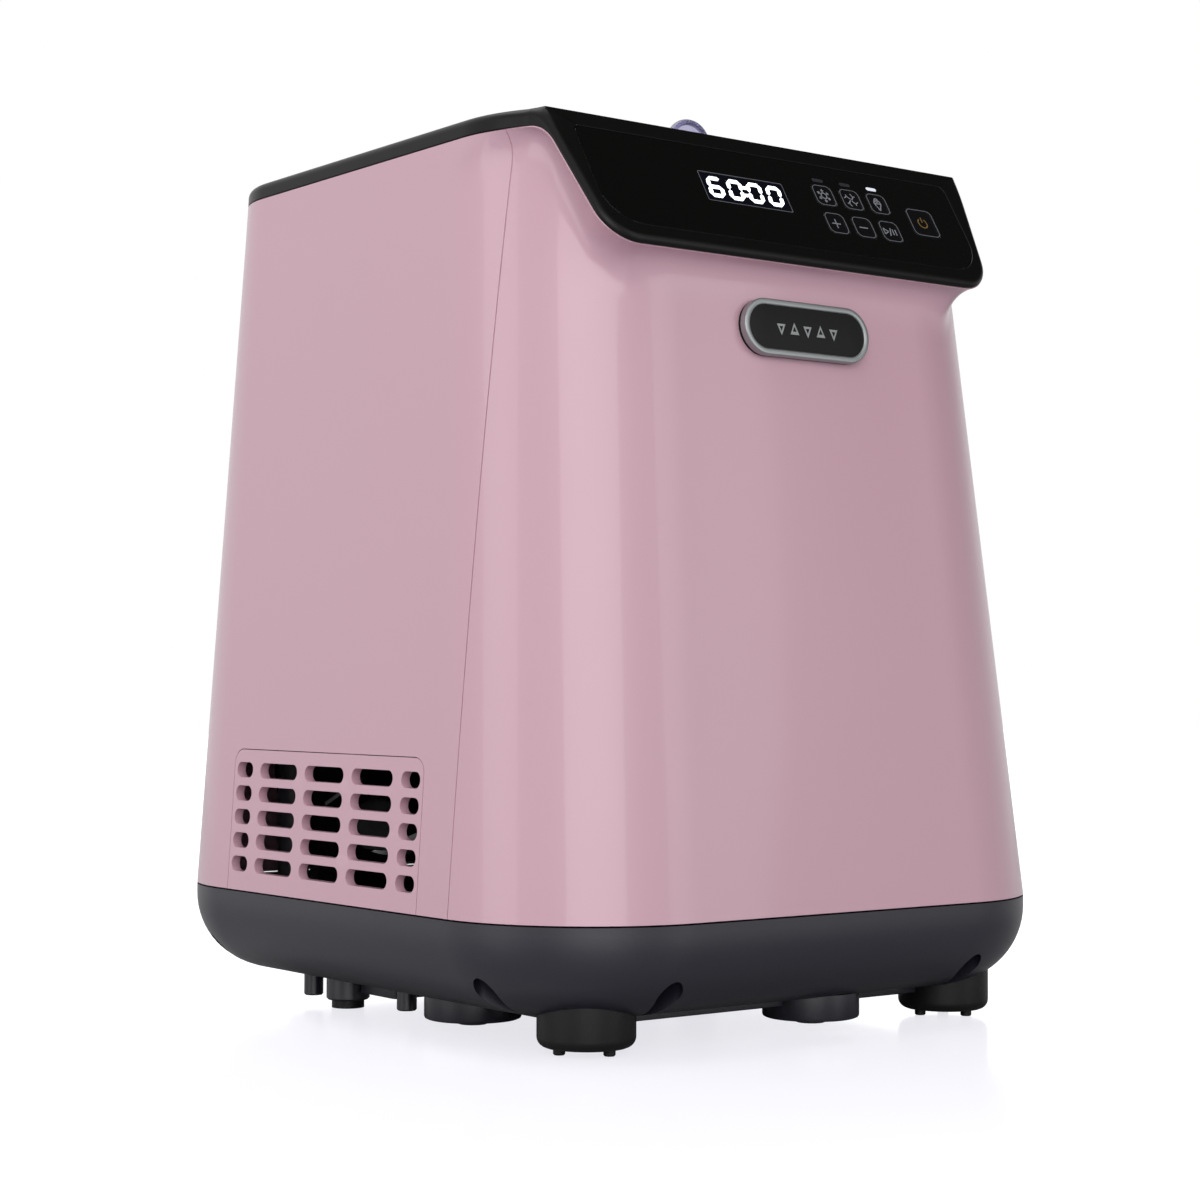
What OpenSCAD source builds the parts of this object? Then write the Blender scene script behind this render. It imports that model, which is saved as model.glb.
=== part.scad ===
/* [Casing] */
// Height of the top rim above the surface it stands on
rim_z = 310; // [306:1:314]
// Width of the casing at the seam with the base
base_w = 243.6; // [238:0.2:250]
// Depth of the casing at the seam with the base
base_d = 269.2; // [264:0.2:275]
// Height of the seam between the casing and the base tray
seam_z = 44; // [42:0.5:46]
// How far each side leans in between the seam and the rim
lean_side = 16.7; // [14:0.1:18]
// How far the front leans back between the seam and the rim
lean_front = 28.7; // [27:0.1:30]
// How far the back leans in between the seam and the rim
lean_back = 19.4; // [17:0.1:21]
// Corner radius of the casing at the seam
corner_r = 58; // [54:1:60]
// Wall thickness of the moulded casings
wall = 2.6; // [2.2:0.1:3]
// Height of the black rim band round the top
rim_h = 6.6; // [6:0.1:7]
// Radius of the rounded lower edge of the base tray
tray_r = 28; // [26:1:30]
// Height of the flat underside of the base tray
tray_z = 12; // [11:0.5:13]

/* [Control slope] */
// Tilt of the control slope from level
slope_tilt = 59; // [57:1:61]
// Distance of the slope's top edge in front of the centre
slope_y = 92.7; // [91:0.1:95]
// Length of the slope from the top edge to the lip
slope_len = 54; // [52:0.5:55]
// Half width of the slope at its top edge
slope_half_top = 94.5; // [93:0.5:96]
// Half width of the slope at the lip
slope_half_lip = 89; // [88:0.5:90]
// Corner radius of the lip
lip_r = 19; // [17:1:21]
// Width of the glossy control plate
plate_w = 170.8; // [168:0.2:174]
// Length of the control plate down the slope
plate_len = 39.9; // [38:0.1:41]
// Gap between the slope's top edge and the control plate
plate_gap = 6.5; // [6:0.1:7]
// Side of a small key
key_s = 9.6; // [9:0.1:10]
// Distance between small keys
key_pitch = 13.05; // [12.5:0.05:13.5]
// Travel of a key
key_travel = 0.4; // [0.3:0.05:0.5]

/* [Bowl and drive] */
// Inside radius of the removable bowl
bowl_r = 64; // [62:0.5:65]
// Height of the inside floor of the bowl
bowl_floor_z = 178.5; // [177:0.5:180]
// Radius of the round well that the lid sits in
well_r = 80; // [79:0.5:81]
// Distance of the ingredient port in front of the bowl's axis
port_y = 51.5; // [50:0.5:52]
// Radius of the ingredient port
port_r = 11.5; // [11:0.5:12]
// Radius of the drive shaft
shaft_r = 5; // [4.6:0.1:5.2]
// Tooth size of the gears: pitch diameter divided by tooth count
gear_m = 1.5; // [1.5:0.05:1.6]
// Teeth on the drive gear
gear_teeth = 48; // [48:12:48]
// Teeth on the motor pinion
pinion_teeth = 12; // [12:1:12]

/* [Cooling] */
// Radius of the compressor
comp_r = 47; // [44:1:48]
// Side of the square fan
fan_s = 80; // [76:1:82]
// Number of fan blades
fan_blades = 7; // [5:1:9]
// Number of condenser fins
fin_count = 16; // [12:1:18]

/* [Hidden] */
$fn = 64;
// Segments on the circles that are blended by a hull
hull_fn = 40;
// Thickness of the slices that a hull joins
slice = 0.1;
// Overlap that keeps cuts clean
eps = 0.5;
// Air between parts that are fixed but don't touch
gap = 0.3;

// Casing outline at a height
band_z = rim_z - rim_h;
rise = band_z - seam_z;
rear_top_r = 40;
front_top_r = corner_r - 4;
function t(z) = (z - seam_z) / rise;
function half_w(z) = base_w / 2 - lean_side * t(z);
function front_y(z) = -base_d / 2 + lean_front * t(z);
function rear_y(z) = base_d / 2 - lean_back * t(z);
function front_r(z) = corner_r + (front_top_r - corner_r) * t(z);
function rear_r(z) = corner_r + (rear_top_r - corner_r) * t(z);
front_angle = atan(lean_front / rise);
rear_angle = atan(lean_back / rise);

// Split between the front casing and the side casing
split_y = -78;
split_lean = 2;

// Depth below the slope's surface, measured square to it
bezel_t = 3.2;
plate_t = 1.7;
plate_low = 0.2;
flare_z = 256;
board_depth = 9;
board_t = 1.6;
board_x0 = -50;
board_x1 = 82;
board_top = 14;
board_bottom = 43;
cavity_half = 86;
cavity_top = 9;
cavity_bottom = 48;

// Keys: centre of the first small key across the slope and down it
key_x0 = 19.8;
key_row = [20.4, 33];
key_r = 2.6;
key_fit = 0.25;
key_cap_depth = 2.2;
key_flange = 0.8;
key_flange_t = 1.2;
key_stem_r = 2;
key_stem_depth = 5.2;
power_x = 65.4;
power_down = 26.3;
power_size = [13.2, 12.8];
switch_s = 6;
switch_depth = 6.1;
plunger_r = 1.5;
plunger_depth = key_stem_depth + key_travel + slice;
window_x = -18.4;
window_down = 24.5;
window_size = [37.6, 12.5];
lamp_down = 13.4;
lamp_len = 5;
lamp_r = 0.75;

// Badge on the front
badge_z = 241;
badge_w = 57;
badge_h = 19.6;
badge_t = 3;
badge_ring_w = 2.2;
badge_ring_t = 0.6;
// Air between the badge and the leaning front
badge_lift = 0.1;

// Vents on the sides and the fan opening at the back
vent_y = 4.2;
slot_h = 5.6;
slot_long = 26.3;
slot_short = 11.6;
slot_gap = 5.3;
slot_rows = 5;
slot_pitch = 8.6;
slot_z0 = 53.6;
fan_x = -28;
fan_z = 88;
fan_t = 25;
fan_y0 = 98;
fan_bore = fan_s / 2 - 2.5;
hub_r = 15;
guard_r = fan_s / 2 - 1;
inlet_x = 46;
inlet_z = 62;
inlet_size = [27, 19.6];
inlet_depth = 22;

// Base tray
tray_wall = 3;
tray_top = seam_z - 0.5;
platform_size = [168, 204];
platform_r = 20;
platform_drop = 3;
cup_r = 17;
cup_z = 4;
cup_at = [[-80, -32], [18, -98], [14, 8]];
foot_at = [81.6, -99.6];
foot_r = 16.3;
foot_z = 2.2;
foot_boss_h = 8.5;
rear_foot_at = [84, 44];
rear_boss_r = 8;
rear_pad_r = 6;
pocket_at = [[110.6, -87], [68, -123.8], [108.5, 92], [66, 124]];
pocket_r = 4.2;
pocket_z = 36;
pocket_boss_z = 28;
pin_at = [[-88, 46], [-84, 4]];
pin_r = 3.6;
pin_z = 3;
pillar_at = [82, 88];
pillar_r = 6;

// Deck, bucket and foam
deck_z = 153;
deck_t = 3;
deck_inset = wall + 1;
foam_r = 86;
foam_in = 76;
bowl_wall = 1.2;
bucket_in = bowl_r + bowl_wall + 0.5;
bucket_wall = 1.5;
bucket_floor = bowl_floor_z - bowl_wall - 1;
flange_z = 290;
flange_r = 84;
gasket_t = 0.5;
collar_z = flange_z + bucket_wall + gasket_t;
collar_t = 2.5;
channel_w = 24;
coil_r = 3.6;
coil_turns = 5;
coil_sides = 6;
coil_steps = 18;
coil_z = bucket_floor + 10;
coil_pitch = 19;
// The flats of the wound tube still clear the bucket
coil_mid = (bucket_in + bucket_wall + coil_r + gap) / cos(180 / coil_steps);
tube_r = 3;
capillary_r = 1.2;
// Brazed elbows are a little fatter than their pipes
elbow = 1.15;

// Bowl, lid and paddle
bowl_rim_r = 76;
bowl_rim_z = flange_z + bucket_wall + gap;
bowl_fillet = 8;
post_in = shaft_r + 0.5;
post_out = 8.5;
post_top = 198;
lid_z = 302;
lid_t = 2.5;
lid_r = well_r - 1;
lid_plateau_r = 72.5;
lid_top = rim_z + 0.5;
skirt_bottom = bowl_rim_z + bowl_wall + 1.6;
seal_h = 1.3;
seal_lap = 0.6;
cap_r = 14.5;
cap_t = 3;
fin_r = 10;
fin_t = 2.4;
fin_centre_z = 315.9;
hub_in = post_out + 0.7;
hub_out = 12;
hub_bottom = bowl_floor_z + 1.2;
hub_top = 216;
square_s = 7;
square_z = post_top + 0.6;
shaft_top = 208;
blade_reach = bowl_r - 0.8;
blade_top = 284;
blade_t = 4;
blade_frame = 11;
scraper_lean = 24;

// Gearbox
pressure_angle = 25;
backlash = 0.14;
gear_r = gear_m * gear_teeth / 2;
pinion_r = gear_m * pinion_teeth / 2;
gear_centre = gear_r + pinion_r;
gear_z = 137;
gear_h = 8;
box_z = 130;
box_t = 2.5;
box_top = 149;
cover_t = 3;
box_r = gear_r + gear_m + 3.5;
nose_r = 16;
boss_r = 9;
bush_r = 7;
run_fit = 0.05;
motor_r = 26;
motor_len = 50;
motor_shaft_r = 3;

// Compressor and condenser
comp_at = [-22, -45];
comp_z0 = 25;
comp_z1 = 118;
plate_z = 22;
grommet_r = 11;
cond_x0 = 80;
cond_t = 22;
cond_half = 55;
cond_z0 = 26;
cond_h = 80;
cond_levels = 4;
cond_level_pitch = 20;
fin_t_thick = 0.6;
drier_at = [50, 80];
drier_r = 8;
pcb_x = [26, 80];
pcb_y = -108;
leg_t = 1.2;
leg_gap = 0.2;
pcb_z = [27, 92];

// ---- Shared shapes ----

// Casing outline with different front and rear corner radii
module plan(hw, yf, yr, rf, rr) {
    translate([-hw + rf, yf]) square([2 * (hw - rf), rf + 1]);
    translate([-hw, yf + rf]) square([2 * hw, yr - rr - yf - rf]);
    translate([-hw + rr, yr - rr - 1]) square([2 * (hw - rr), rr + 1]);
    for (s = [-1, 1]) {
        translate([s * (hw - rf), yf + rf]) circle(rf);
        translate([s * (hw - rr), yr - rr]) circle(rr);
    }
}

module plan_at(z, inset) {
    plan(half_w(z) - inset, front_y(z) + inset, rear_y(z) - inset, front_r(z) - inset, rear_r(z) - inset);
}

module slab(z, inset) {
    translate([0, 0, z]) linear_extrude(slice) plan_at(z, inset, $fn = hull_fn);
}

// Places children on the control slope: X across, Y up the slope, Z out of it
module on_slope(x = 0, down = 0, depth = 0) {
    translate([0, -slope_y, rim_z]) rotate([slope_tilt, 0, 0]) translate([x, -down, -depth]) children();
}

// Places children on the leaning front face: X across, Y up, Z out of the face
module on_front(z) {
    translate([0, front_y(z), z]) rotate([90 - front_angle, 0, 0]) children();
}

// Places children on the leaning back face: X towards -X, Y up, Z out of the face
module on_rear(x, z) {
    translate([x, rear_y(z), z]) rotate([90 - rear_angle, 0, 180]) children();
}

module round_rect(size, r) {
    square([size[0] - 2 * r, size[1]], center = true);
    square([size[0], size[1] - 2 * r], center = true);
    for (sx = [-1, 1], sy = [-1, 1])
        translate([sx * (size[0] / 2 - r), sy * (size[1] / 2 - r)]) circle(r);
}

module stadium(w, h) {
    square([w - h, h], center = true);
    for (s = [-1, 1]) translate([s * (w - h) / 2, 0]) circle(d = h);
}

// Black slope outline, grown or shrunk by an inset
module slope_outline(inset) {
    half_top = slope_half_top - inset;
    half_lip = slope_half_lip - inset;
    r = lip_r - inset;
    low = slope_len - inset - r;
    polygon([[-half_top, 0], [half_top, 0], [half_lip, -low], [half_lip - r, -low - r],
             [-half_lip + r, -low - r], [-half_lip, -low]]);
    for (s = [-1, 1]) translate([s * (half_lip - r), -low]) circle(r);
}

// Pipe along straight runs with round elbows
module pipe(points, r) {
    for (i = [0 : len(points) - 2]) {
        a = points[i];
        b = points[i + 1];
        d = b - a;
        translate(a) rotate([0, acos(d[2] / norm(d)), atan2(d[1], d[0])]) cylinder(h = norm(d), r = r);
        if (i > 0) translate(a) sphere(r * elbow);
    }
}

// Outline of an involute gear with a tooth on the +X axis
function involute(a) = tan(a) * 180 / PI - a;
function flank(r, rp, half) =
    let (rb = rp * cos(pressure_angle))
    half + involute(pressure_angle) - (r > rb ? involute(acos(rb / r)) : 0);
module gear_outline(teeth) {
    rp = gear_m * teeth / 2;
    root = rp - 1.25 * gear_m;
    tip = rp + 0.95 * gear_m;
    base = max(rp * cos(pressure_angle), root + 0.02);
    half = 90 / teeth - backlash / rp * 180 / PI;
    radii = [root, base, base + (tip - base) / 3, base + (tip - base) * 2 / 3, tip];
    polygon([for (i = [0 : teeth - 1]) each concat(
        [for (r = radii) let (a = 360 * i / teeth - flank(r, rp, half)) r * [cos(a), sin(a)]],
        [for (k = [4 : -1 : 0]) let (r = radii[k], a = 360 * i / teeth + flank(r, rp, half)) r * [cos(a), sin(a)]])]);
}

// ---- Casings ----

// Outside shape of both casings, shrunk by an inset
module casing_solid(inset) {
    intersection() {
        union() {
            hull() {
                slab(seam_z - (inset > 0 ? eps : 0), inset);
                slab(band_z - slice, inset);
            }
            hull() {
                slab(flare_z, inset);
                slab(band_z - slice, inset);
                on_slope(depth = bezel_t + inset) linear_extrude(slice) slope_outline(1 + inset, $fn = hull_fn);
            }
        }
        // Everything behind the slope and under the rim band
        on_slope(depth = bezel_t + inset + 3 * base_d) translate([-base_w, -rim_z * 3, 0])
            cube([2 * base_w, rim_z * 5, 3 * base_d]);
        translate([-base_w, -base_d, 0]) cube([2 * base_w, 2 * base_d, band_z - (inset > 0 ? -eps : 0)]);
    }
}

// Everything behind the leaning split line
module behind_split(shift) {
    lean = atan(split_lean / rise);
    translate([0, split_y + shift, seam_z]) rotate([lean, 0, 0]) translate([-base_w, 0, -rim_z])
        cube([2 * base_w, base_d * 2, rim_z * 3]);
}

module slot_grid() {
    widths = [slot_short, slot_long, slot_long, slot_long, slot_short];
    step = slot_long + slot_gap;
    ends = step + slot_long / 2 + slot_gap + slot_short / 2;
    at = [-ends, -step, 0, step, ends];
    for (row = [0 : slot_rows - 1], c = [0 : 4])
        translate([vent_y + at[c], slot_z0 + row * slot_pitch]) stadium(widths[c], slot_h);
}

module front_shell() {
    color("#d9a9b8") difference() {
        casing_solid(0);
        casing_solid(wall);
        behind_split(-gap / 2);
        on_slope(depth = wall * 6) translate([-cavity_half, -cavity_bottom, 0])
            cube([2 * cavity_half, cavity_bottom - cavity_top, wall * 7]);
    }
}

module side_rear_shell() {
    color("#d6a6b5") difference() {
        intersection() {
            casing_solid(0);
            behind_split(gap / 2);
        }
        casing_solid(wall);
        rotate([90, 0, 90]) translate([0, 0, -base_w]) linear_extrude(2 * base_w) slot_grid($fn = 24);
        on_rear(fan_x, fan_z) translate([0, 0, -wall * 3]) cylinder(h = wall * 5, r = guard_r + gap);
        on_rear(inlet_x, inlet_z) translate([0, 0, -wall * 3]) linear_extrude(wall * 5)
            round_rect(inlet_size + [gap, gap], 2);
    }
}

// Half of the tray's section: flat underside, rounded lower edge and upright side
function tray_edge(reach, r, low, top) = concat([[reach, top]],
    [for (a = [0 : -15 : -90]) [reach - r + r * cos(a), low + r + r * sin(a)]]);

// Tray shape shrunk by an inset, from turned corners and straight sides
module tray_solid(inset, top) {
    r = tray_r - inset;
    low = tray_z + inset;
    cx = base_w / 2 - corner_r;
    cy = base_d / 2 - corner_r;
    edge = concat([[0, low], [0, top]], tray_edge(corner_r - inset, r, low, top));
    translate([-cx, -cy, low]) cube([2 * cx, 2 * cy, top - low]);
    for (corner = [[1, 1], [-1, 1], [-1, -1], [1, -1]])
        translate([corner[0] * cx, corner[1] * cy, 0])
            rotate([0, 0, atan2(corner[1], corner[0]) - 45]) rotate_extrude(angle = 90) polygon(edge);
    for (side = [[0, cx, cy], [90, cy, cx], [180, cx, cy], [270, cy, cx]])
        rotate([0, 0, side[0]]) translate([side[1], side[2], 0]) rotate([90, 0, 0])
            linear_extrude(2 * side[2]) polygon(edge);
}

module base_tray() {
    color("#2b2b31") difference() {
        union() {
            difference() {
                tray_solid(0, tray_top);
                tray_solid(tray_wall, tray_top + 2);
            }
            translate([0, 0, tray_z - platform_drop]) linear_extrude(platform_drop + 1)
                round_rect(platform_size, platform_r);
            for (p = cup_at) translate([p[0], p[1], cup_z]) cylinder(h = tray_z + tray_wall - cup_z, r = cup_r);
            for (s = [-1, 1]) translate([s * rear_foot_at[0], rear_foot_at[1], pin_z])
                cylinder(h = tray_z + 1 - pin_z, r = rear_boss_r);
            for (s = [-1, 1]) translate([s * foot_at[0], foot_at[1], tray_z - platform_drop])
                cylinder(h = foot_boss_h, r = foot_r);
            for (p = pin_at) translate([p[0], p[1], pin_z]) cylinder(h = tray_z + 1 - pin_z, r = pin_r);
            for (s = [-1, 1], p = pocket_at) translate([s * p[0], p[1], pocket_boss_z])
                cylinder(h = pocket_z + 2 - pocket_boss_z, r = pocket_r + 1.2);
            for (sx = [-1, 1], sy = [-1, 1]) translate([sx * pillar_at[0], sy * pillar_at[1], tray_z])
                cylinder(h = tray_wall + 3, r = pillar_r + 2);
        }
        for (p = cup_at) {
            translate([p[0], p[1], cup_z + 2.5]) cylinder(h = tray_z, r = cup_r - 2.5);
            translate([p[0], p[1], 0]) cylinder(h = tray_z, r = 3.2);
        }
        for (s = [-1, 1], p = pocket_at) {
            translate([s * p[0], p[1], 0]) cylinder(h = pocket_z, r = pocket_r);
            translate([s * p[0], p[1], pocket_z - 1]) cylinder(h = tray_top, r = 1.7);
        }
        for (sx = [-1, 1], sy = [-1, 1]) translate([sx * pillar_at[0], sy * pillar_at[1], tray_z + tray_wall])
            cylinder(h = 10, r = pillar_r);
    }
}

module deck_pillars() {
    color("#3a3a40") for (sx = [-1, 1], sy = [-1, 1])
        translate([sx * pillar_at[0], sy * pillar_at[1], tray_z + tray_wall])
            cylinder(h = deck_z - tray_z - tray_wall, r = pillar_r);
}

module inner_deck() {
    color("#8d9094") difference() {
        translate([0, 0, deck_z]) linear_extrude(deck_t) plan_at(deck_z, deck_inset + 1);
        translate([0, 0, deck_z - eps]) cylinder(h = deck_t + 2 * eps, r = boss_r + 1);
        translate([-channel_w / 2, foam_r + 2, deck_z - eps]) cube([channel_w, 12, deck_t + 2 * eps]);
    }
}

// ---- Top, control panel and badge ----

module top_bezel() {
    color("#141414") difference() {
        union() {
            // Rim band with a recessed top plate
            difference() {
                intersection() {
                    translate([0, 0, band_z]) linear_extrude(rim_h) plan_at(band_z, 0);
                    on_slope(depth = base_d) translate([-base_w, -rim_z, 0]) cube([2 * base_w, rim_z * 3, base_d]);
                }
                translate([0, 0, band_z + 3]) linear_extrude(rim_h) intersection() {
                    plan_at(band_z, 4);
                    translate([-base_w, -slope_y + 4]) square([2 * base_w, base_d]);
                }
            }
            // Collar that closes the gap down to the bucket
            translate([0, 0, collar_z]) cylinder(h = band_z - collar_z + 1, r = well_r + collar_t);
            // Sloping frame
            on_slope(depth = bezel_t) linear_extrude(bezel_t) slope_outline(0);
            for (x = [board_x0 + 5, board_x1 - 5], d = [board_top + 3, board_bottom - 3])
                on_slope(x, d, board_depth) cylinder(h = board_depth - bezel_t + 1, r = 2.5);
        }
        translate([0, 0, collar_z - eps]) cylinder(h = rim_h + band_z, r = well_r);
        on_slope(depth = plate_t + plate_low) linear_extrude(bezel_t) plate_outline(-gap / 2);
        on_slope(depth = bezel_t + eps) translate([board_x0 + 9, -board_bottom + 2, 0])
            cube([board_x1 - board_x0 - 18, board_bottom - board_top, bezel_t + 1]);
    }
}

module plate_outline(inset) {
    half = plate_w / 2 - inset;
    top = -plate_gap - inset;
    r = 14;
    low = -plate_gap - plate_len + inset;
    translate([-half + 3, top - 3]) square([2 * half - 6, 3]);
    translate([-half, low + r]) square([2 * half, top - 3 - low - r]);
    translate([-half + r, low]) square([2 * (half - r), r + 1]);
    for (s = [-1, 1]) {
        translate([s * (half - 3), top - 3]) circle(3);
        translate([s * (half - r), low + r]) circle(r);
    }
}

module control_plate() {
    color("#08080a") difference() {
        on_slope(depth = plate_t + plate_low) linear_extrude(plate_t) plate_outline(0);
        for (row = key_row, i = [0 : 2]) on_slope(key_x0 + i * key_pitch, row, bezel_t)
            linear_extrude(bezel_t + 1) round_rect([key_s + 2 * key_fit, key_s + 2 * key_fit], key_r + key_fit);
        on_slope(power_x, power_down, bezel_t) linear_extrude(bezel_t + 1)
            round_rect(power_size + 2 * [key_fit, key_fit], key_r + key_fit);
        on_slope(window_x, window_down, bezel_t) linear_extrude(bezel_t + 1) square(window_size, center = true);
        for (i = [0 : 2]) on_slope(key_x0 + i * key_pitch, lamp_down, bezel_t)
            linear_extrude(bezel_t + 1) stadium(lamp_len, 2 * lamp_r);
    }
}

module display_window() {
    color("#1a1a22") on_slope(window_x, window_down, plate_t + plate_low)
        linear_extrude(plate_t) square(window_size - [gap, gap], center = true);
}

module display_module() {
    color("#303038") on_slope(window_x, window_down, board_depth)
        linear_extrude(board_depth - bezel_t + 1) square(window_size - [2, 1.5], center = true);
}

module indicator_lamps() {
    color("#f4f6ff") for (i = [0 : 2])
        on_slope(key_x0 + i * key_pitch, lamp_down, bezel_t) linear_extrude(bezel_t - plate_low)
            stadium(lamp_len - gap, 2 * lamp_r - gap);
}

module control_board() {
    color("#1e5a3a") difference() {
        on_slope(depth = board_depth + board_t) translate([board_x0, -board_bottom, 0])
            cube([board_x1 - board_x0, board_bottom - board_top, board_t]);
        for (x = [board_x0 + 5, board_x1 - 5], d = [board_top + 3, board_bottom - 3])
            on_slope(x, d, board_depth + board_t + eps) cylinder(h = board_t + 2 * eps, r = 1.6);
    }
}

module key_switches() {
    at = concat([for (row = key_row, i = [0 : 2]) [key_x0 + i * key_pitch, row]], [[power_x, power_down]]);
    color("#55565c") for (p = at) on_slope(p[0], p[1], board_depth) {
        translate([-switch_s / 2, -switch_s / 2, 0]) cube([switch_s, switch_s, board_depth - switch_depth]);
        cylinder(h = board_depth - plunger_depth, r = plunger_r);
    }
}

// A key with a rounded cap, a retaining flange behind the plate and a stem
module key(x, down, size) {
    on_slope(x, down, key_cap_depth) linear_extrude(key_cap_depth) round_rect(size, key_r);
    on_slope(x, down, key_cap_depth + key_flange_t) linear_extrude(key_flange_t)
        round_rect(size + 2 * [key_flange, key_flange], key_r);
    on_slope(x, down, key_stem_depth) cylinder(h = key_stem_depth - key_cap_depth, r = key_stem_r);
}

module small_key(column, row) {
    color("#0d0d10") key(key_x0 + column * key_pitch, key_row[row], [key_s, key_s]);
}

module key_chill() { small_key(0, 0); }
module key_mix() { small_key(1, 0); }
module key_cone() { small_key(2, 0); }
module key_plus() { small_key(0, 1); }
module key_minus() { small_key(1, 1); }
module key_start() { small_key(2, 1); }
module key_power() { color("#0d0d10") key(power_x, power_down, power_size); }

module badge_base() {
    color("#141416") on_front(badge_z) translate([0, 0, badge_lift]) linear_extrude(badge_t)
        stadium(badge_w - gap, badge_h - gap);
}

module badge_ring() {
    color("#9a9c9e") on_front(badge_z) translate([0, 0, badge_lift + badge_t]) linear_extrude(badge_ring_t) difference() {
        stadium(badge_w, badge_h);
        stadium(badge_w - 2 * badge_ring_w, badge_h - 2 * badge_ring_w);
    }
}

// ---- Cold part ----

module evaporator_bucket() {
    out = bucket_in + bucket_wall;
    low = bucket_floor - bucket_wall;
    color("#c9ccd0") rotate_extrude() polygon([[bush_r + 1.2, low], [out, low], [out, flange_z],
        [flange_r, flange_z], [flange_r, flange_z + bucket_wall], [bucket_in, flange_z + bucket_wall],
        [bucket_in, bucket_floor], [bush_r + 1.2, bucket_floor]]);
}

// Round tube wound in a rising helix round the bucket
module evaporator_coil() {
    rings = coil_turns * coil_steps;
    points = [for (i = [0 : rings], k = [0 : coil_sides - 1])
        let (a = 90 + 360 * i / coil_steps, b = 360 * k / coil_sides, r = coil_mid + coil_r * cos(b))
        [r * cos(a), r * sin(a), coil_z + coil_pitch * i / coil_steps + coil_r * sin(b)]];
    first = [for (k = [0 : coil_sides - 1]) k];
    last = [for (k = [coil_sides - 1 : -1 : 0]) rings * coil_sides + k];
    sides = [for (i = [0 : rings - 1], k = [0 : coil_sides - 1])
        let (n = (k + 1) % coil_sides, a = i * coil_sides)
        [a + k, a + coil_sides + k, a + coil_sides + n, a + n]];
    color("#b87a4a") polyhedron(points, concat([first], [last], sides));
}

module foam_jacket() {
    low = deck_z + deck_t;
    shelf = bucket_floor - bucket_wall;
    color("#e8dfb8") difference() {
        rotate_extrude() polygon([[boss_r + 1, low], [foam_r, low], [foam_r, flange_z - gap],
            [foam_in, flange_z - gap], [foam_in, shelf], [boss_r + 1, shelf]]);
        translate([-channel_w / 2, foam_in - 4, shelf]) cube([channel_w, 20, flange_z]);
    }
}

module bucket_gasket() {
    color("#35353a") translate([0, 0, flange_z + bucket_wall]) difference() {
        cylinder(h = gasket_t, r = flange_r);
        translate([0, 0, -eps]) cylinder(h = gasket_t + 2 * eps, r = well_r);
    }
}

module bowl() {
    low = bowl_floor_z - bowl_wall;
    out = bowl_r + bowl_wall;
    f = bowl_fillet;
    color("#d4d6d8") rotate_extrude() polygon(concat(
        [[post_in, low]],
        [for (a = [-90 : 15 : 0]) [out - f + f * cos(a), low + f + f * sin(a)]],
        [[out, bowl_rim_z], [bowl_rim_r, bowl_rim_z], [bowl_rim_r, bowl_rim_z + bowl_wall],
            [bowl_r, bowl_rim_z + bowl_wall]],
        [for (a = [0 : -15 : -90]) [bowl_r - f + f * cos(a), bowl_floor_z + f + f * sin(a)]],
        [[post_out, bowl_floor_z], [post_out, post_top], [post_in, post_top]]));
}

module lid() {
    color("#c9c9d8", 0.5) difference() {
        union() {
            rotate_extrude() polygon([[0, lid_top - lid_t], [lid_plateau_r - lid_t, lid_top - lid_t],
                [lid_plateau_r - lid_t, skirt_bottom], [lid_plateau_r, skirt_bottom], [lid_plateau_r, lid_z],
                [lid_r, lid_z], [lid_r, lid_z + lid_t], [lid_plateau_r, lid_z + lid_t],
                [lid_plateau_r, lid_top], [0, lid_top]]);
            translate([0, -port_y, lid_top - lid_t - 6]) cylinder(h = 6 + eps, r = port_r + 2);
        }
        translate([0, -port_y, lid_top - 20]) cylinder(h = 30, r = port_r);
    }
}

module lid_seal() {
    color("#e6e6ea") translate([0, 0, skirt_bottom - seal_h]) difference() {
        cylinder(h = seal_h, r = lid_plateau_r + seal_lap);
        translate([0, 0, -eps]) cylinder(h = seal_h + 2 * eps, r = lid_plateau_r - lid_t - seal_lap);
    }
}

module ingredient_cap() {
    low = lid_top + 0.1;
    color("#bdbad2", 0.6) translate([0, -port_y, 0]) {
        difference() {
            union() {
                translate([0, 0, low]) cylinder(h = cap_t, r = cap_r);
                translate([0, 0, low - 7]) cylinder(h = 7 + eps, r = port_r - gap);
            }
            translate([0, 0, low - 8]) cylinder(h = 8, r = port_r - gap - 1.8);
        }
        translate([0, fin_t / 2, fin_centre_z]) rotate([90, 0, 0]) cylinder(h = fin_t, r = fin_r - 2);
        translate([0, fin_t / 2 + 0.5, fin_centre_z]) rotate([90, 0, 0]) difference() {
            cylinder(h = fin_t + 1, r = fin_r);
            translate([0, 0, -eps]) cylinder(h = fin_t + 2, r = fin_r - 2);
            translate([-fin_r - 1, -fin_r * 2 - 2.4, -eps]) cube([2 * fin_r + 2, 2 * fin_r, fin_t + 2]);
        }
    }
}

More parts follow.
